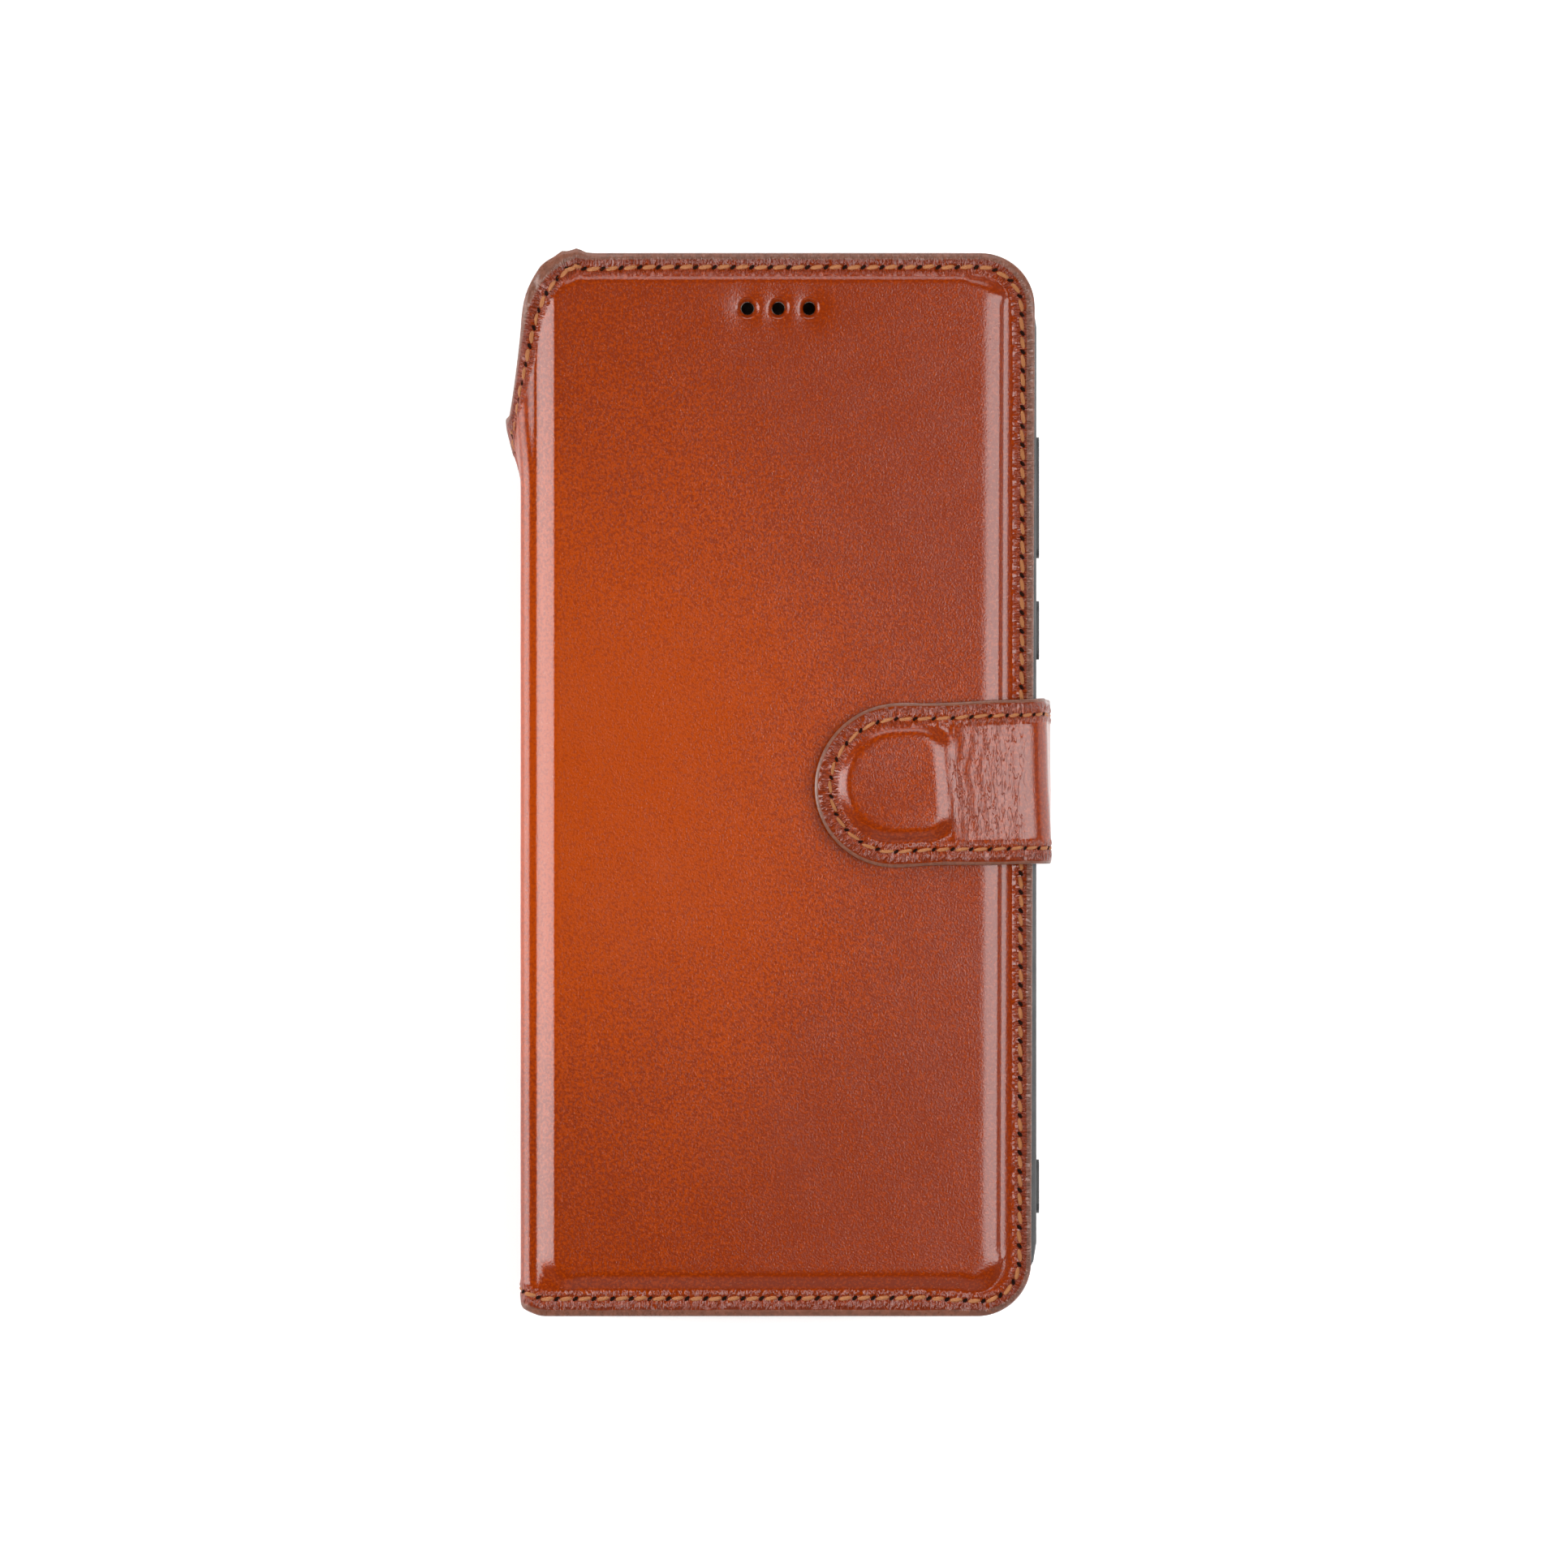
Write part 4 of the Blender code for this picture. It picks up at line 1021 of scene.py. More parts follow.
@dataclass
class FrontSkin:
    """The front cover's leather with its raised panel, down to the middle of the spine."""

    finishes: Finishes
    stitches: Stitches
    body: Body = Body()
    panel_rise: float = 1.4
    flat_left: float = -34.4
    flat_right: float = 32.3
    flat_top: float = 78.35
    flat_foot: float = -76.1
    flat_corner: float = 2.6
    fall_left: float = 2.75
    fall_right: float = 3.0
    fall_top: float = 2.15
    fall_foot: float = 3.3
    hole_y: float = 74.3
    hole_pitch: float = 4.8
    hole_middle: float = 0.2
    lip_radius: float = 1.9
    hole_radius: float = 1.0
    pitch: float = 2.9
    step: float = 0.74

    def __post_init__(self) -> None:
        """Lays out the cut edge and its seam."""
        body = self.body
        foot = [(p, float(body.foot(np.array(p))))
                for p in np.arange(body.middle, body.edge_x - body.corner, 0.4)]
        top = [(p, float(body.front_top(np.array(p))))
               for p in np.arange(body.edge_x - body.corner, body.middle, -0.3)]
        corner = body.edge_x - body.corner
        end = body.top_y - body.corner
        low = [(corner + body.corner * math.sin(a), -end - body.corner * math.cos(a))
               for a in np.linspace(0, math.pi / 2, 30)]
        high = [(corner + body.corner * math.cos(a), end + body.corner * math.sin(a))
                for a in np.linspace(0, math.pi / 2, 30)]
        last = (body.middle, float(body.front_top(np.array(body.middle))))
        insets = [(0, 2.7), (0.2, 2.9), (0.235, 2.2), (0.26, 1.85), (0.66, 1.85), (0.70, 2.25), (0.868, 2.25),
                  (0.888, 2.6), (0.903, 3.0), (0.912, 3.3), (0.922, 3.1), (0.935, 2.6), (1.0, 2.65)]
        self.line = CutLine(foot + low + high + top + [last], insets, self.pitch)

    def raised(self, p: np.ndarray, y: np.ndarray) -> np.ndarray:
        """The height of the panel at flat places, from 0 outside it."""
        side = np.where(p < 0, np.clip(self.flat_left + self.flat_corner - p, 0, None) / self.fall_left,
                        np.clip(p - self.flat_right + self.flat_corner, 0, None) / self.fall_right)
        length = np.where(y < 0, np.clip(self.flat_foot + self.flat_corner - y, 0, None) / self.fall_foot,
                          np.clip(y - self.flat_top + self.flat_corner, 0, None) / self.fall_top)
        mean = np.where(p < 0, self.fall_left, self.fall_right)
        mean = np.where(length > 0, np.where(y < 0, self.fall_foot, self.fall_top), mean)
        mean = np.where((side > 0) & (length > 0), 2.7, mean)
        corner = self.flat_corner / mean
        far = np.clip(np.hypot(side, length) - corner, 0, None)
        soft = rounded_drop(far * 3.2, 3.2, 1.15, 47.0) / float(rounded_drop(np.array(9.0), 3.2, 1.15, 47.0))
        eased = profile_drop(far, (0.0, 0.26, 0.92, 1.0), (0, 25, 35, 0))
        eased = np.where(y < self.flat_foot, ease(far), eased)
        steep = profile_drop(far, (0.0, 0.3, 0.80, 0.86, 0.95, 1.0), (0, 12, 25, 60, 60, 0))
        share = side ** 2 / np.maximum(side ** 2 + length ** 2, 1e-9)
        drop = share * np.where(p < 0, eased, steep) + (1 - share) * np.where(y < 0, eased, soft)
        return self.panel_rise * (1 - drop)

    def holes(self) -> list[float]:
        """Places across the leather of the earpiece holes."""
        return [self.hole_middle + k * self.hole_pitch for k in (-1, 0, 1)]

    def height(self, p: np.ndarray, y: np.ndarray) -> np.ndarray:
        """The height of the leather's outer face over its flat place."""
        raised = self.raised(p, y)
        band = 0.10 + 0.10 * ease((p - 30) / 5) + 0.05 * ease((y - 76) / 3)
        rim = rim_relief(self.line, p, y, 0.55, 0.24, band)
        rim = rim * (1 - ease(raised / self.panel_rise * 1.6 - 0.1))
        waves = 0.035 * ripple(p, y, 46, 0.7) + 0.012 * ripple(p, y, 11, 2.1)
        sink = sum(hump(np.hypot(p - x, (y - self.hole_y) * 0.9), 0, 2.3) for x in self.holes())
        bridges = (self.hole_middle - self.hole_pitch / 2, self.hole_middle + self.hole_pitch / 2)
        between = sum(hump(np.hypot((p - x) * 1.5, y - self.hole_y), 0, 1.5) for x in bridges)
        sunk = -0.24 * sink + 0.14 * between
        fade = ease((p - self.body.middle) / 2.0)
        waves = waves * np.where(p > self.body.fold_x, 1, 0.5) * fade
        return rim + raised + waves + self.body.hinge_line(p, y) + sunk

    def columns(self) -> np.ndarray:
        """Places across the leather of the grid's columns."""
        body = self.body
        arc = body.fold_x - body.quarter
        places = (spaced(body.middle, arc, 0.75) + spaced(arc, body.fold_x, 0.34)
                  + spaced(body.fold_x, -34.3, 0.25) + spaced(-34.3, body.edge_x - RIM_STEPS[-1], self.step))
        return np.array(places + [body.edge_x - s for s in reversed(RIM_STEPS)])

    def grid(self) -> tuple[np.ndarray, np.ndarray]:
        """The flat places of the grid, rows from the foot to the top."""
        p = self.columns()
        low, high = self.body.foot(p), self.body.front_top(p)
        rim = np.array(RIM_STEPS)
        middle = np.array(spaced(rim[-1], 2 * self.body.top_y - rim[-1], self.step)[1:])
        share = (middle - rim[-1]) / (2 * self.body.top_y - 2 * rim[-1])
        rows = [low + s for s in rim]
        rows += [low + rim[-1] + t * (high - low - 2 * rim[-1]) for t in share]
        rows += [high - s for s in rim[::-1]]
        y = np.stack(rows)
        return np.broadcast_to(p, y.shape).copy(), y

    def point(self, p: np.ndarray, y: np.ndarray, up: np.ndarray) -> np.ndarray:
        """Points at heights over the leather's surface."""
        return self.body.wrap(Side.FRONT, p, y, self.height(p, y) + up)

    def build(self) -> list[bpy.types.Object]:
        """Builds the leather, its earpiece lips and its stitching."""
        p, y = self.grid()
        skin = laid_grid("front_cover_leather", self.body.wrap(Side.FRONT, p, y, self.height(p, y)))
        flat_p, flat_y = in_order(p, y)
        count = back_wall(skin, self.body.leather)
        places = places_of(skin)
        under = self.raised(flat_p, flat_y) - self.body.leather + 0.02
        places[count:] = self.body.wrap(Side.FRONT, flat_p, flat_y, under)
        put(skin, places)
        seam = self.seam_numbers(flat_p, flat_y)
        carry_seam(skin, *(np.tile(values, 2) for values in seam))
        lips = self.cut_holes(skin)
        places = places_of(skin)
        broad = places[:, 0] > self.body.fold_x + 1
        seam = self.seam_numbers(places[:, 0], places[:, 1])
        for name, values in zip(("edge", "inside", "along"), seam):
            carry(skin, name, np.where(broad, values, carried(skin, name)))
        dress(skin, self.finishes.hide)
        shade(skin, 42)
        dress(lips, self.finishes.hide)
        far = np.full(len(lips.data.vertices), 9.0)
        carry_seam(lips, far, far, far)
        shade(lips, 50)
        threads = self.stitches.sew("front_cover_thread", self.line, self.point)
        for obj in (skin, *threads):
            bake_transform(obj)
            report(obj)
        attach(lips, "front_cover")
        report(lips)
        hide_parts("front_outer_leather")
        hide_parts("front_cover_stitching", "spine_notch_stitching")
        flat_area(self.line.points)
        return [skin, lips, *threads]

    def seam_numbers(self, p: np.ndarray, y: np.ndarray) -> tuple[np.ndarray, np.ndarray, np.ndarray]:
        """The edge's distance, painted wider at the notch, and the places inside and along the seam."""
        edge, inside, run = self.line.near(p, y)
        wide = 1 + 0.95 * hump(p, -34.6, 3.2) * ease((y - 60) / 15)
        return edge / wide, inside, run

    def cut_holes(self, skin: bpy.types.Object) -> bpy.types.Object:
        """Cuts room for the earpiece lips through the leather and builds the lips that line it."""
        lips = []
        for x in self.holes():
            punch(skin, x, self.hole_y, self.body.face_z + 1, self.lip_radius)
            lips.append(self.lip(x))
        deselect()
        for obj in lips:
            obj.select_set(True)
        bpy.context.view_layer.objects.active = lips[0]
        bpy.ops.object.join()
        lips[0].name = lips[0].data.name = "earpiece_lips"
        return lips[0]

    def lip(self, x: float) -> bpy.types.Object:
        """The leather drawn down into one earpiece hole: rings from the flat leather down the hole."""
        inner, outer = self.hole_radius, self.lip_radius
        rings = [(outer, 0.0), (outer - 0.16, -0.02), (outer - 0.34, -0.10), (outer - 0.50, -0.24),
                 (inner + 0.26, -0.42), (inner + 0.12, -0.60), (inner + 0.03, -0.82), (inner, -1.1),
                 (inner, -3.25), (inner + 0.3, -3.3), (outer - 0.3, -1.3), (outer, -1.15)]
        steps = 40
        deselect()
        bpy.ops.mesh.primitive_grid_add(x_subdivisions=steps, y_subdivisions=len(rings), size=2.0)
        obj = bpy.context.object
        flat = places_of(obj) * MM
        turn = (flat[:, 0] + 1) * math.pi
        ring = np.rint((flat[:, 1] + 1) / 2 * len(rings)).astype(int) % len(rings)
        radius, drop = np.array(rings)[ring].T
        oval = 1 + 0.05 * np.sin(2 * turn + x)
        px, py = x + radius * oval * np.cos(turn), self.hole_y + radius * np.sin(turn)
        rimmed = self.height(x + outer * np.cos(turn), self.hole_y + outer * np.sin(turn))
        top = self.body.face_z + rimmed + drop
        put(obj, np.stack([np.where(radius == outer, x + outer * np.cos(turn), px), py, top], -1))
        apply(obj, "WELD", merge_threshold=0.00001)
        face_outwards(obj)
        return obj


# The back leather

@dataclass
class BackSkin:
    """The back's leather, cut away round the cameras, down to the middle of the spine."""

    finishes: Finishes
    stitches: Stitches
    body: Body = Body()
    notch_y: float = 45.0
    notch_x: float = 18.0
    notch_foot: float = 12.0
    notch_mouth: float = 4.0
    pitch: float = 2.9
    step: float = 1.15

    def __post_init__(self) -> None:
        """Lays out the cut edge and its seam."""
        body = self.body
        foot = [(p, float(body.foot(np.array(p))))
                for p in np.arange(body.middle, body.edge_x - body.corner, 0.4)]
        corner, end = body.edge_x - body.corner, body.top_y - body.corner
        turn = np.linspace(0, math.pi / 2, 30)
        low = [(corner + body.corner * math.sin(a), -end - body.corner * math.cos(a)) for a in turn]
        high = [(corner + body.corner * math.cos(a), end + body.corner * math.sin(a)) for a in turn]
        y = np.arange(body.top_y, self.notch_y, -0.25)
        side = list(zip(self.left(y).tolist(), y.tolist()))
        across = np.linspace(self.notch_x - self.notch_foot, body.middle, 200)
        floor = list(zip(across.tolist(), self.notch_floor(across).tolist()))
        insets = [(0, 2.8), (0.22, 2.8), (0.26, 2.1), (0.55, 2.1), (0.62, 2.4), (1, 2.4)]
        self.line = CutLine(foot + low + high + side + floor, insets, self.pitch)

    def notch_floor(self, p: np.ndarray) -> np.ndarray:
        """The notch's edge beside the spine, which meets the front leather's at the middle of the spine."""
        return np.maximum(self.notch_y, self.body.top_y - self.body.notch(2 * self.body.middle - p))

    def left(self, y: np.ndarray) -> np.ndarray:
        """The edge beside the notch at places along the leather, from where the notch's foot starts."""
        down = np.clip(self.notch_y + self.notch_foot - y, 0, self.notch_foot)
        up = np.clip(y - (self.body.top_y - self.notch_mouth), 0, self.notch_mouth)
        return (self.notch_x - self.notch_foot + np.sqrt(self.notch_foot ** 2 - down ** 2)
                + self.notch_mouth - np.sqrt(self.notch_mouth ** 2 - up ** 2))

    def height(self, p: np.ndarray, y: np.ndarray) -> np.ndarray:
        """The height of the leather's outer face over its flat place."""
        rim = rim_relief(self.line, p, y, 0.50, 0.20, 0.08)
        waves = 0.05 * ripple(p, y, 43, 1.9) + 0.012 * ripple(p, y, 12, 0.4)
        board = -0.10 * (1 - ease((np.abs(p - 0.2) - 35.6) / -1.6)) * (p > self.body.fold_x)
        return rim + (waves + board) * ease((p - self.body.middle) / 2.0) + self.body.hinge_line(p, y)

    def grid(self) -> tuple[np.ndarray, np.ndarray, np.ndarray]:
        """The flat places of the grid, rows from the foot to the top, and which of them are used."""
        body, rim = self.body, np.array(RIM_STEPS)
        foot, far = -body.top_y, self.notch_y
        low = [*(foot + rim), *spaced(foot + rim[-1], far - rim[-1], self.step)[1:], *(far - rim[::-1])]
        high = [*(far + rim[1:]), *spaced(far + rim[-1], body.top_y - rim[-1], self.step)[1:],
                *(body.top_y - rim[::-1])]
        arc, start = body.fold_x - body.quarter, self.notch_x - self.notch_foot
        first = np.array(spaced(body.middle, arc, 0.9) + spaced(arc, body.fold_x, 0.4)
                         + spaced(body.fold_x, -34.0, 0.4) + spaced(-34.0, start, self.step))
        share = (np.array(low) - foot) / (far - foot)
        bottom = body.foot(first)
        first_y = bottom[None] + share[:, None] * (self.notch_floor(first) - bottom)[None]
        rows = np.array(low + high)
        left, right = self.left(rows), body.edge_x - body.corner_drop(body.edge_x - body.top_y + np.abs(rows))
        fit = np.minimum(1, (right - left) / 18)[:, None] * rim[None]
        inner = np.array(spaced(0, 1, self.step / 20)[1:])[None]
        lefts, rights = left[:, None] + fit, right[:, None] - fit[:, ::-1]
        between = lefts[:, -1:] + inner * (rights[:, :1] - lefts[:, -1:])
        second = np.concatenate([lefts, between, rights], 1)
        p = np.concatenate([np.broadcast_to(first, (len(rows), len(first))), second], 1)
        y = np.broadcast_to(rows[:, None], p.shape).copy()
        y[:len(low), :len(first)] = first_y
        used = np.ones(p.shape, bool)
        used[len(low):, :len(first)] = False
        return p, y, used

    def point(self, p: np.ndarray, y: np.ndarray, up: np.ndarray) -> np.ndarray:
        """Points at heights over the leather's surface."""
        return self.body.wrap(Side.BACK, p, y, self.height(p, y) + up)

    def build(self) -> list[bpy.types.Object]:
        """Builds the leather and its stitching."""
        p, y, used = self.grid()
        places = self.point(p, y, np.zeros(p.shape))
        places[~used] = (0, 1000, 0)
        skin = laid_grid("back_cover_leather", places[::-1])
        drop_vertices(skin, places_of(skin)[:, 1] > 500)
        flat_p, flat_y = self.body.unwrap(Side.BACK, places_of(skin))
        count = back_wall(skin, self.body.leather)
        places = places_of(skin)
        places[count:] = self.body.wrap(Side.BACK, flat_p, flat_y, np.full(count, -self.body.leather))
        put(skin, places)
        carry_seam(skin, *(np.tile(values, 2) for values in self.line.near(flat_p, flat_y)))
        dress(skin, self.finishes.hide)
        shade(skin, 42)
        threads = self.stitches.sew("back_cover_thread", self.line, self.point)
        for obj in (skin, *threads):
            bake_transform(obj)
            report(obj)
        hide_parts("back_outer_leather", "spine_outer_leather")
        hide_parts("back_panel_stitching", "spine_foot_stitching")
        flat_area(self.line.points)
        return [skin, *threads]


# The inside

@dataclass
class Linings:
    """The linings of both covers and of the spine between them, with the front's outer seam showing through.
    """

    finishes: Finishes
    stitches: Stitches
    front: FrontSkin
    back: BackSkin
    thickness: float = 0.6

    def back_depth(self, p: np.ndarray) -> np.ndarray:
        """How deep the back lining's outer face lies under the leather's, which its board lets it sink."""
        return 1.2 + 0.98 * ease((p - self.back.body.fold_x) / 1.8)

    def line_cover(self, name: str, side: Side, p: np.ndarray, y: np.ndarray, used: np.ndarray,
                   line: CutLine) -> bpy.types.Object:
        """Lays one lining.

        Args:
            name: Its name.
            side: Its side of the case.
            p: The flat places of its grid.
            y: The same along the case.
            used: Which of them are used.
            line: The cut edge.

        Returns:
            The lining.
        """
        body = self.front.body

        def shell(q: np.ndarray, v: np.ndarray, inner: float) -> np.ndarray:
            deep = self.back_depth(q) if side is Side.BACK else np.full(q.shape, 1.22)
            thick = self.thickness + (0.2 * ease((q - body.fold_x) / 2) if side is Side.BACK else 0)
            return body.wrap(side, q, v, -deep - inner * (thick + 0.04 * ripple(q, v, 9.0, 2.2)))

        places = shell(p, y, 1.0)
        places[~used] = (0, 1000, 0)
        sheet = laid_grid(name, places[::-1] if side is Side.FRONT else places)
        drop_vertices(sheet, places_of(sheet)[:, 1] > 500)
        flat_p, flat_y = body.unwrap(side, places_of(sheet))
        if side is Side.FRONT:
            flat_p, flat_y = in_order(p[::-1], y[::-1])
        count = back_wall(sheet, self.thickness)
        both = places_of(sheet)
        both[count:] = shell(flat_p, flat_y, 0.0)
        put(sheet, both)
        carry(sheet, "edge", np.tile(line.near(flat_p, flat_y)[0], 2))
        dress(sheet, self.finishes.lining)
        return sheet

    def build(self) -> list[bpy.types.Object]:
        """Builds both linings, and the stitches on the front one."""
        front, back, body = self.front, self.back, self.front.body
        p, y = (thinned(grid) for grid in front.grid())
        upper = self.line_cover("front_cover_lining", Side.FRONT, p, y, np.ones(p.shape, bool), front.line)
        for x in front.holes():
            punch(upper, x, front.hole_y, body.face_z - 1.5, front.hole_radius + 0.3)
        p, y, used = (thinned(grid) for grid in back.grid())
        lower = self.line_cover("back_cover_lining", Side.BACK, p, y, used, back.line)
        front_depth = 1.22 + self.thickness
        front_thread = self.stitches.sew("front_inner_thread", front.line, lambda q, v, up: body.wrap(
            Side.FRONT, q, v, -front_depth - up), radius=0.26, hole=0.40)
        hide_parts("front_lining", "spine_lining")
        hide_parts("back_lining")
        for obj in (upper, *front_thread):
            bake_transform(obj)
        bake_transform(lower)
        for obj, line, under in ((upper, front.line, "front_stiffener_board"),
                                 (lower, back.line, "back_stiffener_board")):
            shade(obj, 50)
            flat_area(line.points)
            report(obj)
        return [upper, lower, *front_thread]


@dataclass(frozen=True)
class PocketSize:
    """One pocket sheet on the inside of the front cover, in millimetres."""

    name: str
    replaces: str
    left: float
    low: float
    high: float
    face_z: float
    open_top: bool = False


@dataclass
class Pockets:
    """The cash pocket and the three stepped card pockets."""

    finishes: Finishes
    stitches: Stitches
    right: float = 36.0
    corner: float = 2.0
    thickness: float = 0.6
    seam_inset: float = 1.6
    pitch: float = 2.4
    sizes: tuple[PocketSize, ...] = (
        PocketSize("cash_pocket_sheet", "cash_pocket_panel", -34.0, -79.0, 67.0, 17.4, True),
        PocketSize("card_pocket_sheet_1", "card_pocket_upper", -30.0, -47.0, 47.0, 16.7),
        PocketSize("card_pocket_sheet_2", "card_pocket_middle", -22.0, -47.0, 47.0, 16.0),
        PocketSize("card_pocket_sheet_3", "card_pocket_lower", -14.0, -47.0, 47.0, 15.3),
    )

    def seam(self, size: PocketSize) -> CutLine:
        """The pocket's three stitched edges: all but the left one, or all but the top one."""
        c, low, high, left, right = self.corner, size.low, size.high, size.left, self.right
        turn = np.linspace(0, math.pi / 2, 9)
        low_right = [(right - c + c * math.sin(a), low + c - c * math.cos(a)) for a in turn]
        high_right = [(right - c + c * math.cos(a), high - c + c * math.sin(a)) for a in turn]
        points = [(left + c, low), *low_right, *high_right, (left + c, high)]
        if size.open_top:
            low_left = [(left + c - c * math.cos(a), low + c - c * math.sin(a)) for a in turn]
            points = [(left, high - c), *low_left, *low_right, (right, high - c)]
        return CutLine(points, [(0, self.seam_inset), (1, self.seam_inset)], self.pitch)

    def height(self, size: PocketSize, line: CutLine, p: np.ndarray, y: np.ndarray) -> np.ndarray:
        """The height of the pocket's face over its flat place, away from the cover."""
        rim = rim_relief(line, p, y, 0.16, 0.07, 0.03)
        free = size.high - y if size.open_top else p - size.left
        tooled = -0.10 * hump(free, 1.6, 0.28) - 0.20 * (1 - ease(free / 0.5)) + 0.10 * hump(free, 0.9, 0.5)
        middle = ease((p - size.left) / 12) * ease((self.right - p) / 12) * ease((size.high - np.abs(y)) / 12)
        return rim + tooled + 0.10 * middle + 0.03 * ripple(p, y, 21, size.left)

    def sheet(self, size: PocketSize) -> tuple[bpy.types.Object, CutLine]:
        """Lays one pocket sheet."""
        line = self.seam(size)
        rim = [s for s in RIM_STEPS if s < 4.6]
        p = np.array([size.left + s for s in rim] + spaced(size.left + rim[-1], self.right - rim[-1], 1.3)[1:]
                     + [self.right - s for s in rim[::-1]])
        over = np.clip(self.corner - np.minimum(p - size.left, self.right - p), 0, self.corner)
        drop = self.corner - np.sqrt(self.corner ** 2 - over ** 2)
        rows = np.array([size.low + s for s in rim] + spaced(size.low + rim[-1], size.high - rim[-1], 1.3)[1:]
                        + [size.high - s for s in rim[::-1]])
        share = (rows - size.low) / (size.high - size.low)
        y = (size.low + drop)[None] + share[:, None] * (size.high - size.low - 2 * drop)[None]
        p = np.broadcast_to(p, y.shape)
        face = size.face_z - self.height(size, line, p, y)
        obj = laid_grid(size.name, np.stack([p, y, face], -1)[::-1])
        flat_p, flat_y = places_of(obj)[:, 0], places_of(obj)[:, 1]
        count = back_wall(obj, self.thickness)
        places = places_of(obj)
        places[count:, 2] = size.face_z + self.thickness
        put(obj, places)
        edge, inside, run = line.near(flat_p, flat_y)
        free = size.high - flat_y if size.open_top else flat_p - size.left
        carry_seam(obj, *(np.tile(values, 2) for values in (np.minimum(edge, free), inside, run)))
        dress(obj, self.finishes.pocket)
        shade(obj, 42)
        return obj, line

    def build(self) -> list[bpy.types.Object]:
        """Builds the pocket sheets and their stitches, which ride the front cover."""
        made = []
        for size in self.sizes:
            obj, line = self.sheet(size)
            steps = sorted((s.left, s.face_z) for s in self.sizes if not s.open_top)

            def surface(p: np.ndarray, y: np.ndarray, up: np.ndarray) -> np.ndarray:
                z = np.full(p.shape, size.face_z, float)
                for (_, above), (left, below) in zip(steps, steps[1:]):
                    z = z - (above - below) * ease((p - left) / 0.4 + 0.5) * (not size.open_top)
                return np.stack([p, y, z - up], -1)

            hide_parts(size.replaces)
            made.append(obj)
            if size.open_top or size.name.endswith("1"):
                name = "cash_pocket_thread" if size.open_top else "card_pocket_thread"
                threads = self.stitches.sew(name, line, surface, radius=0.20, slant=0.08, hole=0.30)
                if not size.open_top:
                    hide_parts("card_pocket_stitching")
                made += threads
        for obj in made:
            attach(obj, "front_cover")
            report(obj)
        return made


# The strap

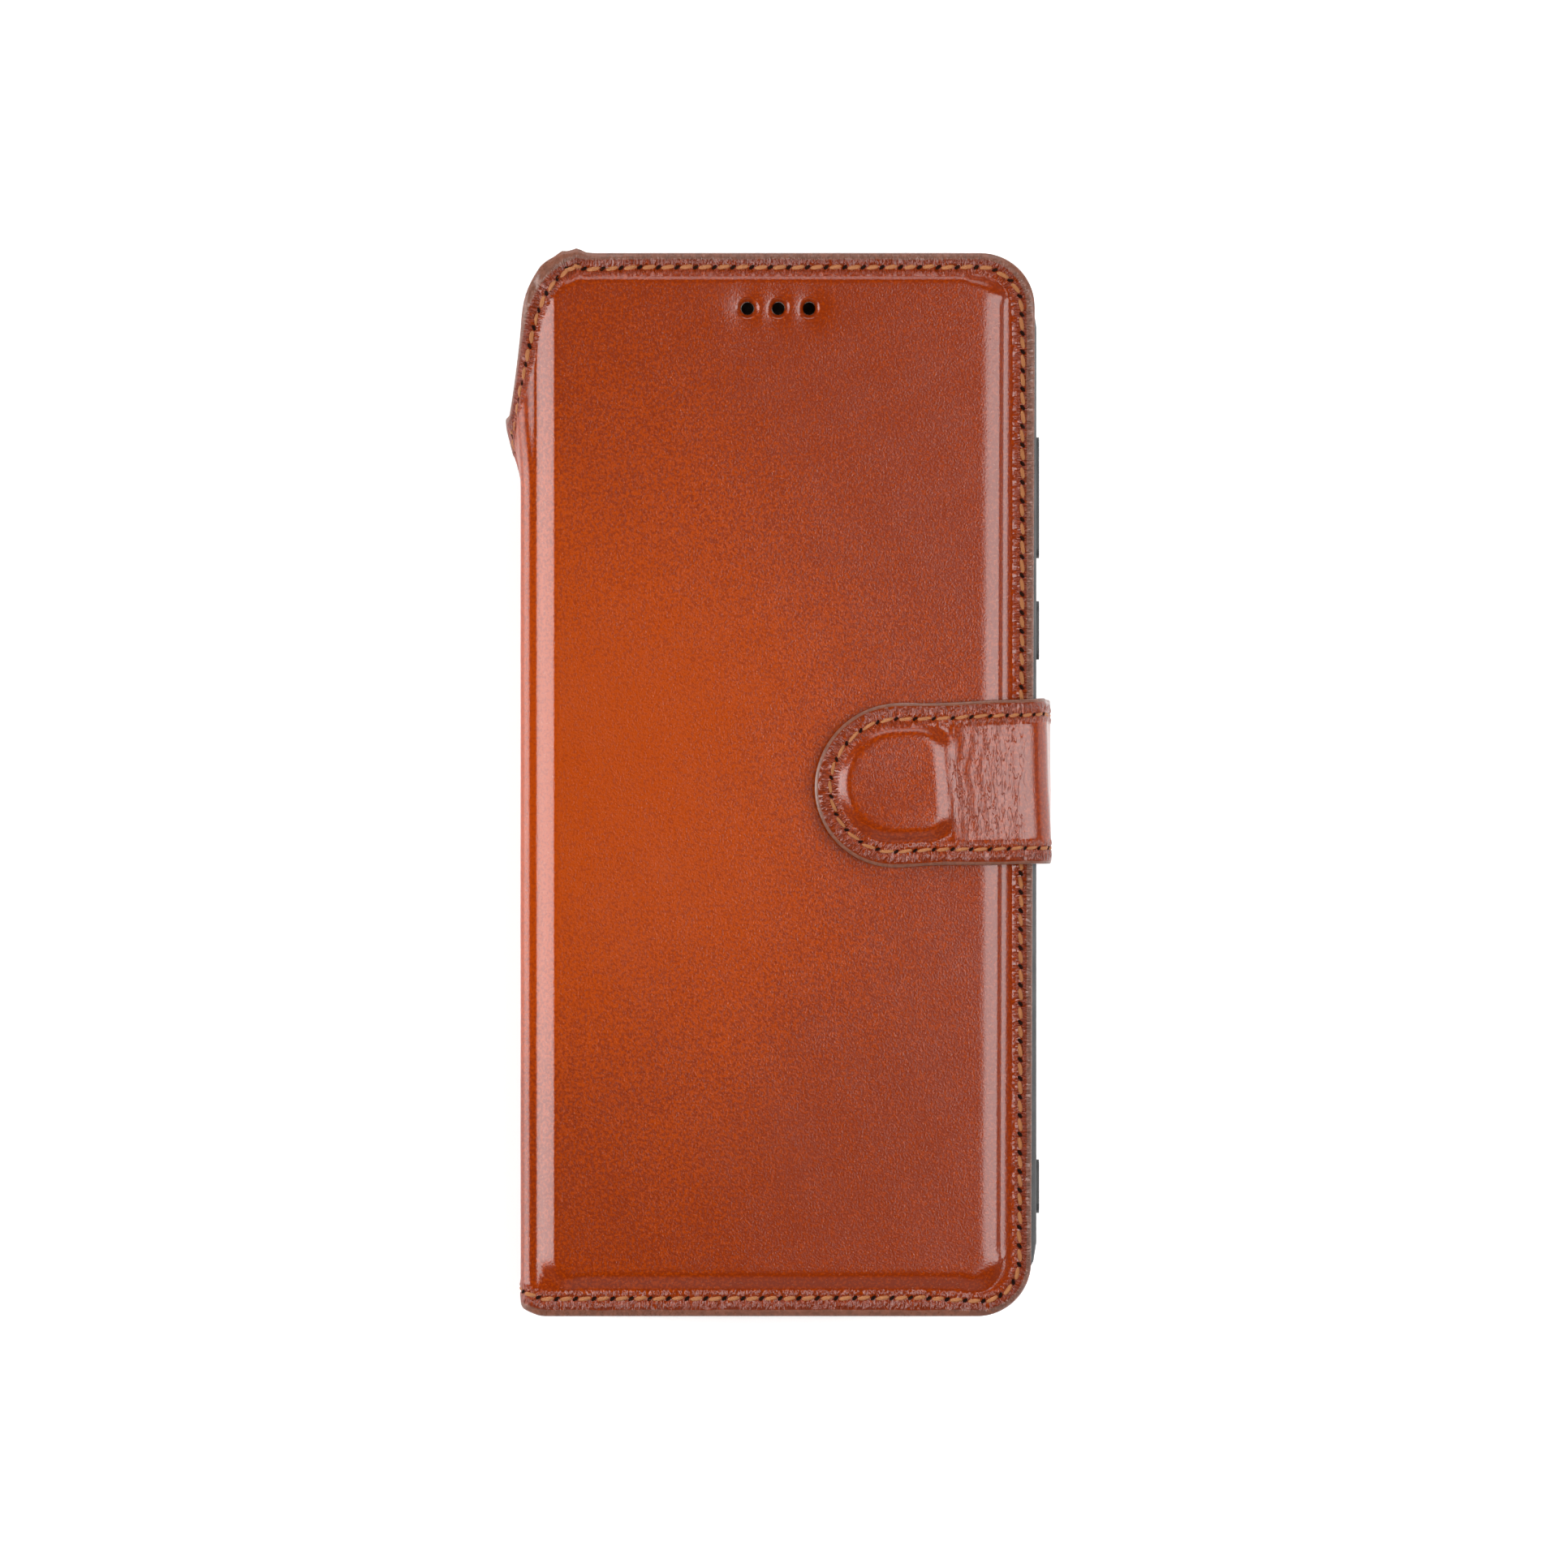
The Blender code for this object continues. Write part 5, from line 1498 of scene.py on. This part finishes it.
@dataclass
class Strap:
    """The strap: a tab with the clasp's bump, and a side that runs down to the back of the case."""

    finishes: Finishes
    stitches: Stitches
    half: float = 12.8
    tip_x: float = 5.9
    fold_x: float = 37.2
    top_z: float = 23.4
    fold_radius: float = 5.8
    foot_radius: float = 2.2
    low_z: float = 0.4
    leather: float = 1.0
    seam_inset: float = 2.45
    pitch: float = 2.95
    bump_rise: float = 1.55
    lining: float = 0.6

    @property
    def quarter(self) -> float:
        """The strap's length round its upper fold."""
        return self.fold_radius * math.pi / 2

    @property
    def wall(self) -> float:
        """The length of the strap's upright part."""
        return self.top_z - self.fold_radius - self.low_z - self.foot_radius

    @property
    def middle(self) -> float:
        """The place along the strap where its upper and lower leathers meet."""
        return self.fold_x + self.quarter + self.wall / 2

    def wrap(self, r: np.ndarray, y: np.ndarray, out: np.ndarray) -> np.ndarray:
        """Lays flat strap leather over the case's free side.

        Args:
            r: Places along the strap, the same as X on the tab.
            y: Places across it.
            out: Heights over its outer face.

        Returns:
            Points in millimetres.
        """
        s = r - self.fold_x
        turn = np.clip(s / self.fold_radius, 0, math.pi / 2)
        radius = self.fold_radius + out
        down = np.clip(s - self.quarter, 0, self.wall)
        low = np.clip(s - self.quarter - self.wall, 0, None)
        x = np.where(s > 0, self.fold_x + radius * np.sin(turn), r)
        z = np.where(s > 0, self.top_z - self.fold_radius + radius * np.cos(turn) - down, self.top_z + out)
        swing = np.clip(low / self.foot_radius, 0, math.pi / 2)
        past = np.clip(low - self.foot_radius * math.pi / 2, 0, None)
        foot = self.foot_radius + out
        climb = 0.95 * ease((past - 0.1) / 1.1)
        centre = self.fold_x + self.fold_radius - self.foot_radius
        x = np.where(low > 0, centre + foot * np.cos(swing) - past, x)
        z = np.where(low > 0, self.low_z + self.foot_radius - foot * np.sin(swing) + climb, z)
        tilt = 0.028 * (np.minimum(x, 43.3) - 22.0)
        lean = 0.034 * (y + 12.7) * ease((r - 33) / 8) * ease((self.fold_x + 22 - r) / 10)
        return np.stack([x - lean, y + tilt, z], -1)

    def half_width(self, r: np.ndarray) -> np.ndarray:
        """Half the strap's width, a little uneven along it."""
        return self.half + 0.10 * np.sin(0.16 * r + 0.8) + 0.05 * np.sin(0.43 * r)

    def edge_line(self) -> CutLine:
        """The tab's cut edge from its lower side round the tip to its upper side."""
        centre = self.tip_x + self.half
        start = self.middle
        lower = [(r, -float(self.half_width(np.array(r)))) for r in np.arange(start, centre, -0.4)]
        tip = [(centre - self.half * math.sin(a), -self.half * math.cos(a))
               for a in np.linspace(0, math.pi, 60)]
        upper = [(r, float(self.half_width(np.array(r)))) for r in np.arange(centre, start, 0.4)]
        points = lower + tip + upper + [(start, float(self.half_width(np.array(start))))]
        return CutLine(points[::-1], [(0, self.seam_inset), (1, self.seam_inset)], self.pitch)

    def lower_lines(self, end: float) -> list[CutLine]:
        """The two cut edges of the strap's lower leather, from its middle to its root."""
        lines = []
        for sign in (1, -1):
            points = [(r, sign * float(self.half_width(np.array(r))))
                      for r in np.arange(self.middle, end, 0.4)]
            points = points if sign < 0 else points[::-1]
            lines.append(CutLine(points, [(0, self.seam_inset), (1, self.seam_inset)], self.pitch))
        return lines

    def bump(self, r: np.ndarray, y: np.ndarray) -> np.ndarray:
        """The height that the clasp's housing lifts the leather."""
        q = y - 0.45
        centre, radius, right, corner = 18.4, 7.1, 24.7 - 0.075 * q, 2.2
        left = np.hypot(r - centre, q) - radius
        tall = np.clip(np.abs(q) - radius + corner, 0, None)
        across = np.clip((r - right) * 0.8 + corner, 0, None)
        outside = np.where(r < centre, left, np.hypot(tall, across) - corner)
        drop = rounded_drop(np.clip(outside, 0, None) * 1.12, 3.1, 1.7, 41.0)
        return self.bump_rise * (1 - drop / float(rounded_drop(np.array(9.0), 3.1, 1.7, 41.0)))

    def sag(self, r: np.ndarray) -> np.ndarray:
        """How the tab sinks a little between the clasp and the fold, as a height."""
        t = np.clip((r - 27.2) / 10.0, 0, 1)
        return -0.85 * t * t * (1.6 - 0.6 * t) * ease((self.fold_x + 11.0 - r) / 9.0)

    def height(self, r: np.ndarray, y: np.ndarray, lines: list[CutLine]) -> np.ndarray:
        """The height of the strap's outer face over its flat place."""
        total = 0
        for line in lines:
            total = total + rim_relief(line, r, y, 0.30, 0.26, 0.10)
        lifted = self.bump(r, y)
        fall = self.sag(r)
        wander = 1.9 * np.sin(y * 0.33 + 1.0) + 0.8 * np.sin(y * 0.9)
        zone = ease((r - 26.5) / 1.5) * ease((37 - r) / 5) * ease((9.5 - np.abs(y)) / 2)
        folds = 0.035 * np.sin(2 * math.pi * r / 1.9 + wander) * zone
        waves = 0.05 * ripple(r, y, 17, 3.2)
        return total * (1 - 0.8 * ease(lifted / 0.5)) + lifted + fall + folds + waves

    def rows(self) -> np.ndarray:
        """Shares of the half width at the grid's rows."""
        rim = [1 - s / self.half for s in RIM_STEPS if s < 4.6]
        middle = spaced(rim[-1], -rim[-1], 0.045)[1:]
        return np.array([-s for s in rim] + [-m for m in middle] + rim[::-1])

    def upper_grid(self) -> tuple[np.ndarray, np.ndarray]:
        """Flat places of the tab's grid: a rounded tip that runs on into straight columns."""
        a = self.rows()
        b = np.array([1 - s / self.half for s in RIM_STEPS if s < 4.6] + spaced(0.64, 0, 0.045)[1:])
        centre = self.tip_x + self.half
        tip_r = centre - self.half * b[None] * np.sqrt(1 - a[:, None] ** 2 / 2)
        tip_y = self.half * a[:, None] * np.sqrt(1 - b[None] ** 2 / 2)
        fold_end = self.fold_x + self.quarter
        straight = np.array(spaced(centre, self.fold_x, 0.55) + spaced(self.fold_x, fold_end, 0.4)
                            + spaced(fold_end, self.middle, 0.6) + [self.middle])
        side_r = np.broadcast_to(straight, (len(a), len(straight)))
        side_y = a[:, None] * self.half_width(straight)[None]
        ease_in = ease((straight - centre) / 4)[None]
        side_y = a[:, None] * self.half * (1 - ease_in) + side_y * ease_in
        return np.concatenate([tip_r, side_r], 1), np.concatenate([tip_y, side_y], 1)

    def build(self) -> list[bpy.types.Object]:
        """Builds the strap's leathers, linings and stitching."""
        made = []
        line = self.edge_line()
        r, y = self.upper_grid()
        end = self.fold_x + self.quarter + self.wall + self.foot_radius * math.pi / 2 + 3.2
        lower = self.lower_lines(end)
        columns = np.array(spaced(self.middle, end - 6.5, 0.6) + spaced(end - 6.5, end, 0.4) + [end])
        low_r = np.broadcast_to(columns, (len(self.rows()), len(columns))).copy()
        low_y = self.rows()[:, None] * self.half_width(columns)[None]
        for name, rr, yy, lines in (("strap_upper_leather", r, y, [line]),
                                    ("strap_lower_leather", low_r, low_y, lower)):
            height = self.height(rr, yy, lines)
            skin = laid_grid(name, self.wrap(rr, yy, height))
            count = back_wall(skin, self.leather)
            places = places_of(skin)
            under = self.bump(rr, yy) + self.sag(rr)
            thickness = self.leather - 0.25 * ease((rr - end + 5) / 4)
            places[count:] = in_order(*np.moveaxis(self.wrap(rr, yy, under - thickness), -1, 0)).T
            put(skin, places)
            near = [cut.near(rr, yy) for cut in lines]
            closest = np.argmin([n[0] for n in near], 0)
            values = [np.choose(closest, [n[k] for n in near]) for k in range(3)]
            carry_seam(skin, *(np.tile(v, 2) for v in in_order(*values)))
            dress(skin, self.finishes.strap)
            shade(skin, 42)
            made.append(skin)
        upper, lower_skin = made
        thread = self.stitches.sew("strap_thread", line, lambda p, q, up: self.wrap(
            p, q, self.height(p, q, [line]) + up), radius=0.27, slant=0.12, hole=0.40)
        low_threads = []
        for k, cut in enumerate(lower):
            low_threads += self.stitches.sew(f"strap_side_thread_{k + 1}", cut, lambda p, q, up: self.wrap(
                p, q, self.height(p, q, lower) + up), radius=0.27, slant=0.12, hole=0.40, first=2 * k,
                last=2 - 2 * k)
        lining_up, lining_low = self.linings(r, y, low_r, low_y, end)
        for obj in (upper, *thread, lining_up):
            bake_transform(obj)
        for obj in (lower_skin, *low_threads, lining_low):
            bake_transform(obj)
        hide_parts("strap_tab_leather")
        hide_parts("strap_side_leather", "strap_root_tongue")
        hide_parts("strap_tab_stitching")
        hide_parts("strap_side_stitching_upper")
        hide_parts("strap_side_stitching_lower")
        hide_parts("strap_tab_lining")
        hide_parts("strap_side_lining")
        everything = [upper, lower_skin, *thread, *low_threads, lining_up, lining_low]
        for obj in everything:
            report(obj)
        return everything

    def linings(self, r: np.ndarray, y: np.ndarray, low_r: np.ndarray, low_y: np.ndarray,
                end: float) -> tuple[bpy.types.Object, bpy.types.Object]:
        """Builds the two linings behind the strap's leathers, a little narrower than them.

        Args:
            r: Places along the strap of the upper leather's grid.
            y: Places across it.
            low_r: Places along the strap of the lower leather's grid.
            low_y: Places across it.
            end: The lower leather's end.

        Returns:
            The upper and the lower lining.
        """
        used = low_r[0] <= end - 4.4
        centre, fit = self.tip_x + self.half, 0.985
        made = []
        for name, rr, yy in (("strap_upper_lining", r, y),
                             ("strap_lower_lining", low_r[:, used], low_y[:, used])):
            rr, yy = thinned(rr), thinned(yy)
            rr = np.where(rr < centre, centre + (rr - centre) * fit, rr)
            under = -self.leather - 0.06 + self.sag(rr) + 0.02 * ripple(rr, yy, 5.0, 1.2)
            sheet = laid_grid(name, self.wrap(rr, yy * fit, under))
            back_wall(sheet, self.lining)
            carry(sheet, "edge", np.full(len(sheet.data.vertices), 9.0))
            dress(sheet, self.finishes.lining)
            shade(sheet, 50)
            made.append(sheet)
        return made[0], made[1]


# What shows of the frame's own nodes

@dataclass
class FrameParts:
    """The frame's nodes that stay in sight, or lie hidden between the leathers, with their finishes."""

    finishes: Finishes
    frame: dict

    def dress_all(self) -> None:
        """Dresses every node that no new piece replaces."""
        f = self.finishes
        worn = {"phone_tray": f.rubber, "volume_key_pad": f.key_rubber, "power_key_pad": f.key_rubber,
                "camera_key_pad": f.key_rubber, "back_stiffener_board": f.board,
                "front_stiffener_board": f.board,
                "tray_bonding_sheet": f.adhesive, "magnet_housing": f.plastic, "clasp_magnet": f.magnet,
                "clasp_keeper_plate": f.steel}
        for name, material in worn.items():
            dress(self.frame["nodes"][name], material)
            report(self.frame["nodes"][name])


# The studio

@dataclass
class Studio:
    """A pale floor, soft lights and a camera looking straight down on the case."""

    frame_width: float = 0.2447
    centre: tuple[float, float] = (0.0011, 0.0001)
    distance: float = 2.0
    face_z: float = 0.020

    def floor(self) -> None:
        """Lays the pale floor."""
        deselect()
        bpy.ops.mesh.primitive_plane_add(size=6.0, location=(0, 0, -0.0007))
        floor = bpy.context.object
        floor.name = floor.data.name = "floor"
        bpy.ops.object.transform_apply(location=True, rotation=False, scale=False)
        r = Recipe("pale_floor", (0.93, 0.93, 0.93), 0.7, Emission_Strength=0.38)
        cloud = r.noise(3.0, 2.0)
        dress(floor, r.finish(r.blend(cloud, (0.92, 0.92, 0.92), (0.94, 0.94, 0.94))))

    def light(self, name: str, turn: float, tilt: float, size: tuple[float, float], power: float,
              reach: float = 1.2, colour: Colour = (1.0, 1.0, 1.0)) -> None:
        """Adds a softbox that faces the case.

        Args:
            name: Its name.
            turn: Its direction in degrees, anticlockwise from +X.
            tilt: How far it stands from straight above, in degrees.
            size: Its two sides in metres.
            power: Its power in watts.
            reach: How far it stands from the case.
            colour: Its colour.
        """
        data = bpy.data.lights.new(name, "AREA")
        data.shape = "RECTANGLE"
        data.size, data.size_y = size
        data.energy = power
        data.color = colour
        obj = bpy.data.objects.new(name, data)
        bpy.context.scene.collection.objects.link(obj)
        a, t = math.radians(turn), math.radians(tilt)
        away = Vector((math.sin(t) * math.cos(a), math.sin(t) * math.sin(a), math.cos(t)))
        obj.location = away * reach
        obj.rotation_euler = away.to_track_quat("Z", "Y").to_euler()
        obj.visible_camera = False

    def world(self) -> None:
        """Surrounds the case with a pale room that is dim straight above it."""
        world = bpy.data.worlds.new("studio")
        bpy.context.scene.world = world
        world.use_nodes = True
        nodes, links = world.node_tree.nodes, world.node_tree.links
        place = nodes.new("ShaderNodeTexCoord")
        split = nodes.new("ShaderNodeSeparateXYZ")
        ramp = nodes.new("ShaderNodeMapRange")
        ramp.interpolation_type = "SMOOTHSTEP"
        for key, value in (("From Min", 0.42), ("From Max", 0.70), ("To Min", 0.16), ("To Max", 0.02)):
            ramp.inputs[key].default_value = value
        links.new(place.outputs["Generated"], split.inputs[0])
        links.new(split.outputs["Z"], ramp.inputs["Value"])
        links.new(ramp.outputs["Result"], nodes["Background"].inputs["Strength"])
        nodes["Background"].inputs["Color"].default_value = (1, 1, 1, 1)

    def camera(self) -> None:
        """Sets the camera straight above the case, with its top towards the case's top."""
        data = bpy.data.cameras.new("camera")
        camera = bpy.data.objects.new("camera", data)
        bpy.context.scene.collection.objects.link(camera)
        camera.location = (*self.centre, self.distance)
        data.sensor_width = 36.0
        data.lens = 36.0 * (self.distance - self.face_z) / self.frame_width
        data.clip_end = 30.0
        bpy.context.scene.camera = camera

    def build(self) -> None:
        """Builds the studio."""
        self.floor()
        self.world()
        self.light("left_softbox", 180, 62, (0.60, 1.4), 17.5)
        self.light("right_softbox", 0, 38, (0.54, 1.4), 14.0)
        self.light("haze_softbox", 4, 22, (0.07, 0.36), 0.018, 0.5)
        self.light("head_softbox", 90, 56, (1.0, 0.5), 4.6)
        self.light("foot_softbox", 270, 62, (1.0, 0.8), 0.9)
        self.camera()
        bpy.context.scene.view_settings.view_transform = "Standard"


def main() -> None:
    """Builds the case round the frame, then the studio."""
    logging.basicConfig(level=logging.INFO, format="%(name)s: %(message)s")
    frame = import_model()
    finishes = Finishes()
    stitches = Stitches(finishes)
    Studio().build()
    front, back = FrontSkin(finishes, stitches), BackSkin(finishes, stitches)
    front.build()
    back.build()
    Linings(finishes, stitches, front, back).build()
    Pockets(finishes, stitches).build()
    Strap(finishes, stitches).build()
    FrameParts(finishes, frame).dress_all()


if __name__ == "__main__":
    main()
